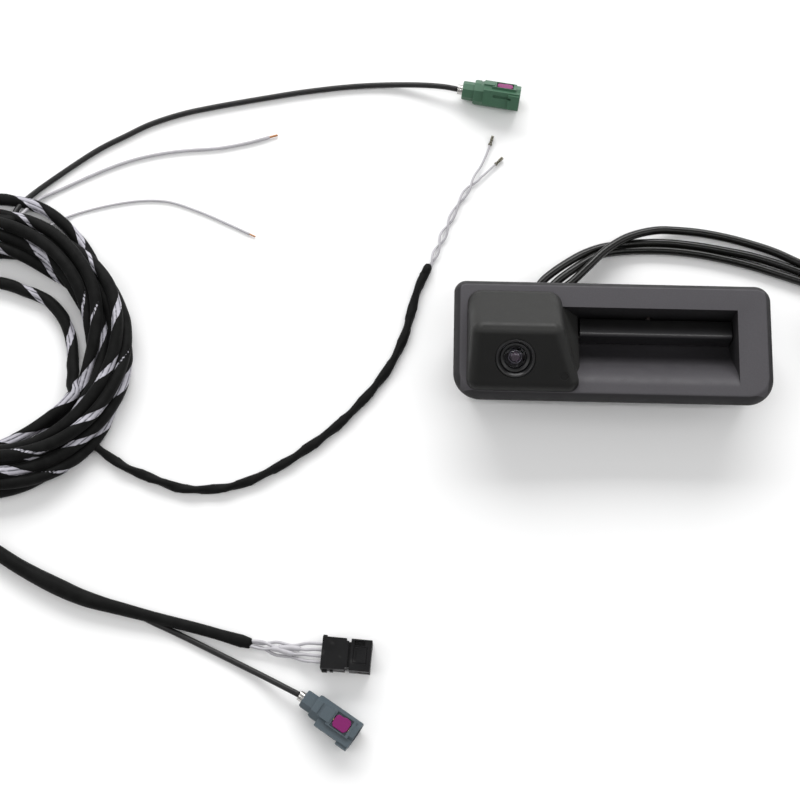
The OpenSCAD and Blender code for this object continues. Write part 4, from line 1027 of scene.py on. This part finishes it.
def lens():
    """Rings round the lens, each a closed profile turned about its axis, and the coated lens inside."""
    rings = {
        "bezel_ring": ([(5.75, -1.7), (7.28, -1.7), (7.3, 0.15), (7.2, 0.42), (6.95, 0.55), (6.6, 0.5),
                        (6.35, 0.28), (6.1, -0.1), (5.75, -0.35)], "lens_black", ["lens_bezel"]),
        "barrel_rings": ([(3.95, -9), (5.5, -9), (5.5, -0.75), (5.35, -0.6), (4.95, -0.6), (4.85, -0.85),
                          (4.5, -0.85), (4.4, -1.15), (4.05, -1.15), (3.98, -1.5), (3.95, -2.4)],
                         "lens_black", ["lens_barrel"]),
        "lens_stop": ([(1.5, -6), (3.9, -6), (3.9, -1.9), (3.6, -1.8), (3.45, -2.1), (3.05, -2.15),
                       (2.95, -2.45), (2.7, -2.5), (2.6, -2.9), (1.9, -3.0), (1.5, -3.3)],
                      "lens_black", []),
        # A lighter grey ring round the coated lens: its grey is a painted reflection of the glass.
        "lens_reflection_ring": ([(1.95, -2.9), (2.45, -2.9), (2.5, -2.3), (2.35, -2.05), (2.15, -2.05), (2.0, -2.3)],
                      "lens_rim", [])}
    for name, (profile, finish, nodes) in rings.items():
        obj = lathe(name, [*profile, profile[0]], 96, False)
        settle(placed(obj, LENS_AT, 0, LENS_TILT), finish, nodes)
    eye = lathe("inner_eye", [(1.95, -3.4)] + [(1.95 * math.cos(a), -3.0 + 0.9 * math.sin(a))
                                             for a in np.linspace(0, 1.5, 12)], 64)
    settle(placed(eye, LENS_AT, 0, LENS_TILT), "lens_coated", ["inner_lens"])


def release_bar():
    """The finger bar: a hub round its pin, a face, a rounded ridge and a flat top."""
    outline = (arc(PIN_AT, 2.3, 180, 300, 13) + [(8.6, 10.4), (11.2, 10.4)]
               + arc((10.9, 15.3), 0.55, 0, 75, 4) + arc((5.75, 15.6), 1.4, 84, 184, 16))
    bar = across("finger_bar", outline, -11.5, 45.5)
    cut(bar, placed(rod("bore", 1.15, -20, 60), (0, *PIN_AT)))
    settle(baked(bar, 42), "bar_plastic", ["release_bar"], "release_bar")


def grommet():
    """A rubber flange with one ribbed boot for each pigtail; the boots lean the way their cables go."""
    flange = soften(block("flange", -30.6, -13.4, 17.2, 18.4, 6.4, 13.6), 0.4, 2)
    parts = [baked(flange)]
    for x, lean in zip(EXIT_X, (0, -3, -5)):
        boot = lathe("boot", [(1.45, 0), (2.38, 0), (2.38, 1.9), (2.7, 2.1), (2.7, 3.4), (2.4, 3.8),
                              (2.15, 5), (2.3, 5.2), (2.25, 5.9), (2.0, 6.2), (1.85, 7.6), (1.5, 8.2),
                              (1.38, 8.2)], 32)
        parts.append(placed(boot, (x, 18.2, 10), lean, -90))
    settle(merged("cable_boots", *parts), "soft_rubber", ["cable_grommet"])


# ---- Plugs ----

COAX_L, COAX_COLLAR, COAX_W = 23, 4.6, 8.9
LOCK_X, LOCK_L, LOCK_W = 16.6, 6.8, 6.0
RIB_X = 8.5
VIDEO_PLUG_AT = (119.4, -30, 4.7)


def octagon(w, x, chamfer=0.26):
    h, c = w / 2, w * chamfer
    return [(x, y, z) for y, z in ((h, h - c), (h - c, h), (c - h, h), (-h, h - c), (-h, c - h),
                                   (c - h, -h), (h - c, -h), (h, c - h))]


def coax_plug(name, at, turn, roll, finish):
    """Coaxial plug along x: eight-sided body with a collar, a side rib and foot, and its lock's pocket."""
    body = loft("body", [octagon(6.3, 0), octagon(6.7, 0.5), octagon(6.7, COAX_COLLAR),
                         octagon(8.3, COAX_COLLAR), octagon(COAX_W, COAX_COLLAR + 0.8),
                         octagon(COAX_W, COAX_L)])
    join(body, block("rib", RIB_X, COAX_L, -COAX_W / 2 - 1.5, 0, -2.5, 3.5),
         block("foot", COAX_L - 4.6, COAX_L - 0.2, -COAX_W / 2 - 2.6, 0, -2.5, 2.9),
         block("pad", LOCK_X - 5.0, LOCK_X + 4.6, -3.4, 3.4, 3, COAX_W / 2 + 0.05),
         block("panel", LOCK_X - 8.2, LOCK_X - 4.0, -2.5, 2.5, 3, COAX_W / 2 + 0.35))
    cut(body, rod("bore", 3.8, 8, COAX_L + 1), rod("rear", 1.92, -1, 8.2, 24),
        block("pocket", LOCK_X - LOCK_L / 2, LOCK_X + LOCK_L / 2, -LOCK_W / 2, LOCK_W / 2,
              COAX_W / 2 - 0.9, 9),
        block("slot", RIB_X + 5, COAX_L + 1, -COAX_W / 2 - 0.7, -COAX_W / 2 + 1.2, -1.3, 1.3),
        block("groove", 7.2, 8.0, -3, 3, COAX_W / 2 - 0.4, 9),
        block("side", 12.4, 19.6, -9, -COAX_W / 2 - 0.8, 0.9, 1.9))
    soften(body, 0.32, 3, 30)
    baked(body, 40)
    body.name = name
    placed(body, at, turn, roll)
    finish_with(body, finish)
    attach(body, "root")
    return body


def coax_lock(name, at, turn, roll, body):
    """The coloured lock: an uneven block that lies in the pocket of its plug."""
    outline = [(-3.0, -1.6), (-2.2, -2.6), (2.2, -2.6), (3.1, -1.4), (3.1, 1.5), (2.3, 2.5), (0.4, 2.7),
               (-0.4, 2.2), (-2.4, 2.2), (-3.1, 1.2)]
    lock = prism("lock", [(LOCK_X + x, y) for x, y in outline], COAX_W / 2 - 0.8, COAX_W / 2)
    baked(soften(lock, 0.25, 3, 30), 40)
    lock.name = name
    placed(lock, at, turn, roll)
    finish_with(lock, "magenta_plastic")
    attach(lock, body)
    return lock


def coax_plugs():
    green_at, grey_at = (-56.4, 110.4, 4.7), (-110.4, -131.2, 4.7)
    for colour, at, turn, roll, finish in (("green", green_at, -8.5, -45, "green_plastic"),
                                           ("grey", grey_at, -33, 0, "grey_blue_plastic")):
        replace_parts(coax_plug(f"{colour}_plug", at, turn, roll, finish), f"{colour}_body")
        lock = coax_lock(f"{colour}_plug_lock", at, turn, roll, f"{colour}_lock")
        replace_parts(lock, f"{colour}_lock")
    video = coax_plug("video_coax_plug", VIDEO_PLUG_AT, -90, 0, "plug_black")
    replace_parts(video, "video_plug")


def four_way_plug():
    """Four-way plug: an inner body with four ways, an outer cover over its rear and a locking slide."""
    length, w, h = PLUG4_SIZE
    front = join(block("front", 10.4, length, -w / 2, w / 2, 0, h),
                 block("neck", 0.6, 11, -w / 2 + 1.15, w / 2 - 1.15, 1, h - 1))
    for i in range(4):
        y = (i - 1.5) * PLUG4_PITCH
        cut(front, placed(rod("cavity", 0.9, -1, 3, 20), (0, y, h / 2)),
            block("way", 2.9, length + 1, y - 0.8, y + 0.8, h / 2 - 0.8, h / 2 + 0.8))
    cut(front, block("pocket", 11.4, 16.4, -3, 3, h - 1.3, h + 1),
        block("window", 11.6, 15.4, 3.4, 5.1, h - 1.6, h + 1),
        block("keyway", 13.5, length + 1, w / 2 - 0.6, w, 3, 5.5),
        block("keyway", 13.5, length + 1, -w, 0.6 - w / 2, 3, 5.5))
    baked(soften(front, 0.25, 2, 30), 40)
    cover = join(block("cover", 0, 9.6, -w / 2, w / 2, 0, h),
                 block("lug", 0.5, 2.4, -w / 2 - 0.9, -2, 1.6, 4.8),
                 block("lug", 3.4, 4.6, -w / 2 - 0.6, -2, 1.6, 4.8),
                 block("ledge", 0, 1.5, 2, w / 2 + 0.8, 2.6, 6.6))
    cut(cover, block("hollow", -1, 20, -w / 2 + 1.1, w / 2 - 1.1, 0.95, h - 0.95),
        block("notch", 8.7, 10, -w, 0.9 - w / 2, -1, h + 1),
        block("notch", 8.7, 10, w / 2 - 0.9, w, -1, h + 1))
    baked(soften(cover, 0.22, 2, 30), 40)
    lock = block("lock", 11.5, 16.3, -2.9, 2.9, h - 1.2, h)
    cut(lock, block("grip", 12.1, 12.6, -2.4, 2.4, h - 0.3, h + 1))
    baked(soften(lock, 0.18, 2, 30), 40)
    for obj, name, node, body in ((front, "plug4_front", "plug4_body", "root"),
                                  (cover, "plug4_rear_cover", "plug4_cover", "root"),
                                  (lock, "plug4_slide", "plug4_lock", "plug4_lock")):
        obj.name = name
        settle(placed(obj, PLUG4_AT, PLUG4_TURN), "plug_black", [node], body)


CRIMP_PITCH = 2.5


def crimp_plug(name, node, at, size, ways):
    """Small crimp-terminal plug that points along -y, with a latch on top and one row of ways."""
    w, length, h = size
    body = join(block("shell", -w / 2, w / 2, -length, 0, 0, h),
                block("latch", -1.5, 1.5, -length + 2, -4, h - 0.5, h + 0.55),
                block("tooth", -1.5, 1.5, -length + 2, -length + 4, h - 0.5, h + 1.2),
                block("collar", -w / 2 - 0.25, w / 2 + 0.25, -3.2, -1.8, 0.02, h + 0.2))
    for i in range(ways):
        x = (i - (ways - 1) / 2) * CRIMP_PITCH
        cut(body, block("way", x - 0.8, x + 0.8, -length - 1, -4, h / 2 - 0.8, h / 2 + 0.8),
            block("window", x - 0.5, x + 0.5, -length + 5, -length + 7.5, -1, 1.2))
    baked(soften(body, 0.25, 2, 30), 40)
    body.name = name
    settle(placed(body, at), "plug_black", [node])


def cable_tie():
    """A loop round the tied coil's turns on its near side, and the tie's head on top."""
    inner_r, outer_r, top = 11.2, 20.8, 10.2
    x = TIED_AT[0]
    y0, y1 = TIED_AT[1] - outer_r, TIED_AT[1] - inner_r
    loop = cut(across("loop", rounded(y0 - 0.6, y1 + 0.7, 0.02, top + 0.7, [2.2] * 4, 6), x - 1.3, x + 1.3),
               across("inside", rounded(y0, y1 + 0.1, 0.5, top + 0.1, [1.8] * 4, 6), x - 3, x + 3))
    join(loop, block("head", x - 2.1, x + 2.1, y1 - 3.4, y1 + 0.4, top - 1.2, top + 0.6))
    baked(soften(loop, 0.2, 2, 40), 40)
    loop.name = "cable_tie_loop"
    settle(loop, "tie_plastic", ["pigtail_tie"])


faceplate()
hood()
lens()
release_bar()
grommet()
coax_plugs()
four_way_plug()
crimp_plug("power_crimp_plug", "power_plug", (106, -30, 0.1), (11.2, 20, 7.2), 4)
crimp_plug("switch_crimp_plug", "switch_plug", (130, -30, 0.1), (6.4, 17, 6.2), 2)
cable_tie()


camera_and_light()
trunk()
plain_cord("green", 1.1, "coax_jacket", ["green_lead"], "plug",
           ["green_plug", "green_plug_lock"], stiffness="medium")
plain_cord("grey", 1.1, "coax_jacket", ["grey_lead"], "plug",
           ["grey_plug", "grey_plug_lock"], stiffness="medium")
plain_cord("long", 0.65, "wire_white", ["long_wire"], "bare", step=0.8, stiffness="medium")
plain_cord("short", 0.45, "wire_white", ["short_wire"], "bare", step=0.8, stiffness="medium")
taped_twist()
twisted_pair()
main_branch(["plug4_front", "plug4_rear_cover", "plug4_slide", "plug4_terminals", *plug4_wires()])
pigtail("video", "video_coax_plug", ["cable_tie_loop", "cable_boots"])
pigtail("power", "power_crimp_plug")
pigtail("switch", "switch_crimp_plug", (), ["pigtail_coil"])


# ---- Every other CAD node keeps its shape and takes the finish of its slot ----

for part in frame["record"]["subparts"]:
    node = frame["nodes"][part["node"]]
    if not node.hide_render:
        node.data.materials.clear()
        node.data.materials.append(MATERIALS[part["material_slot"]])
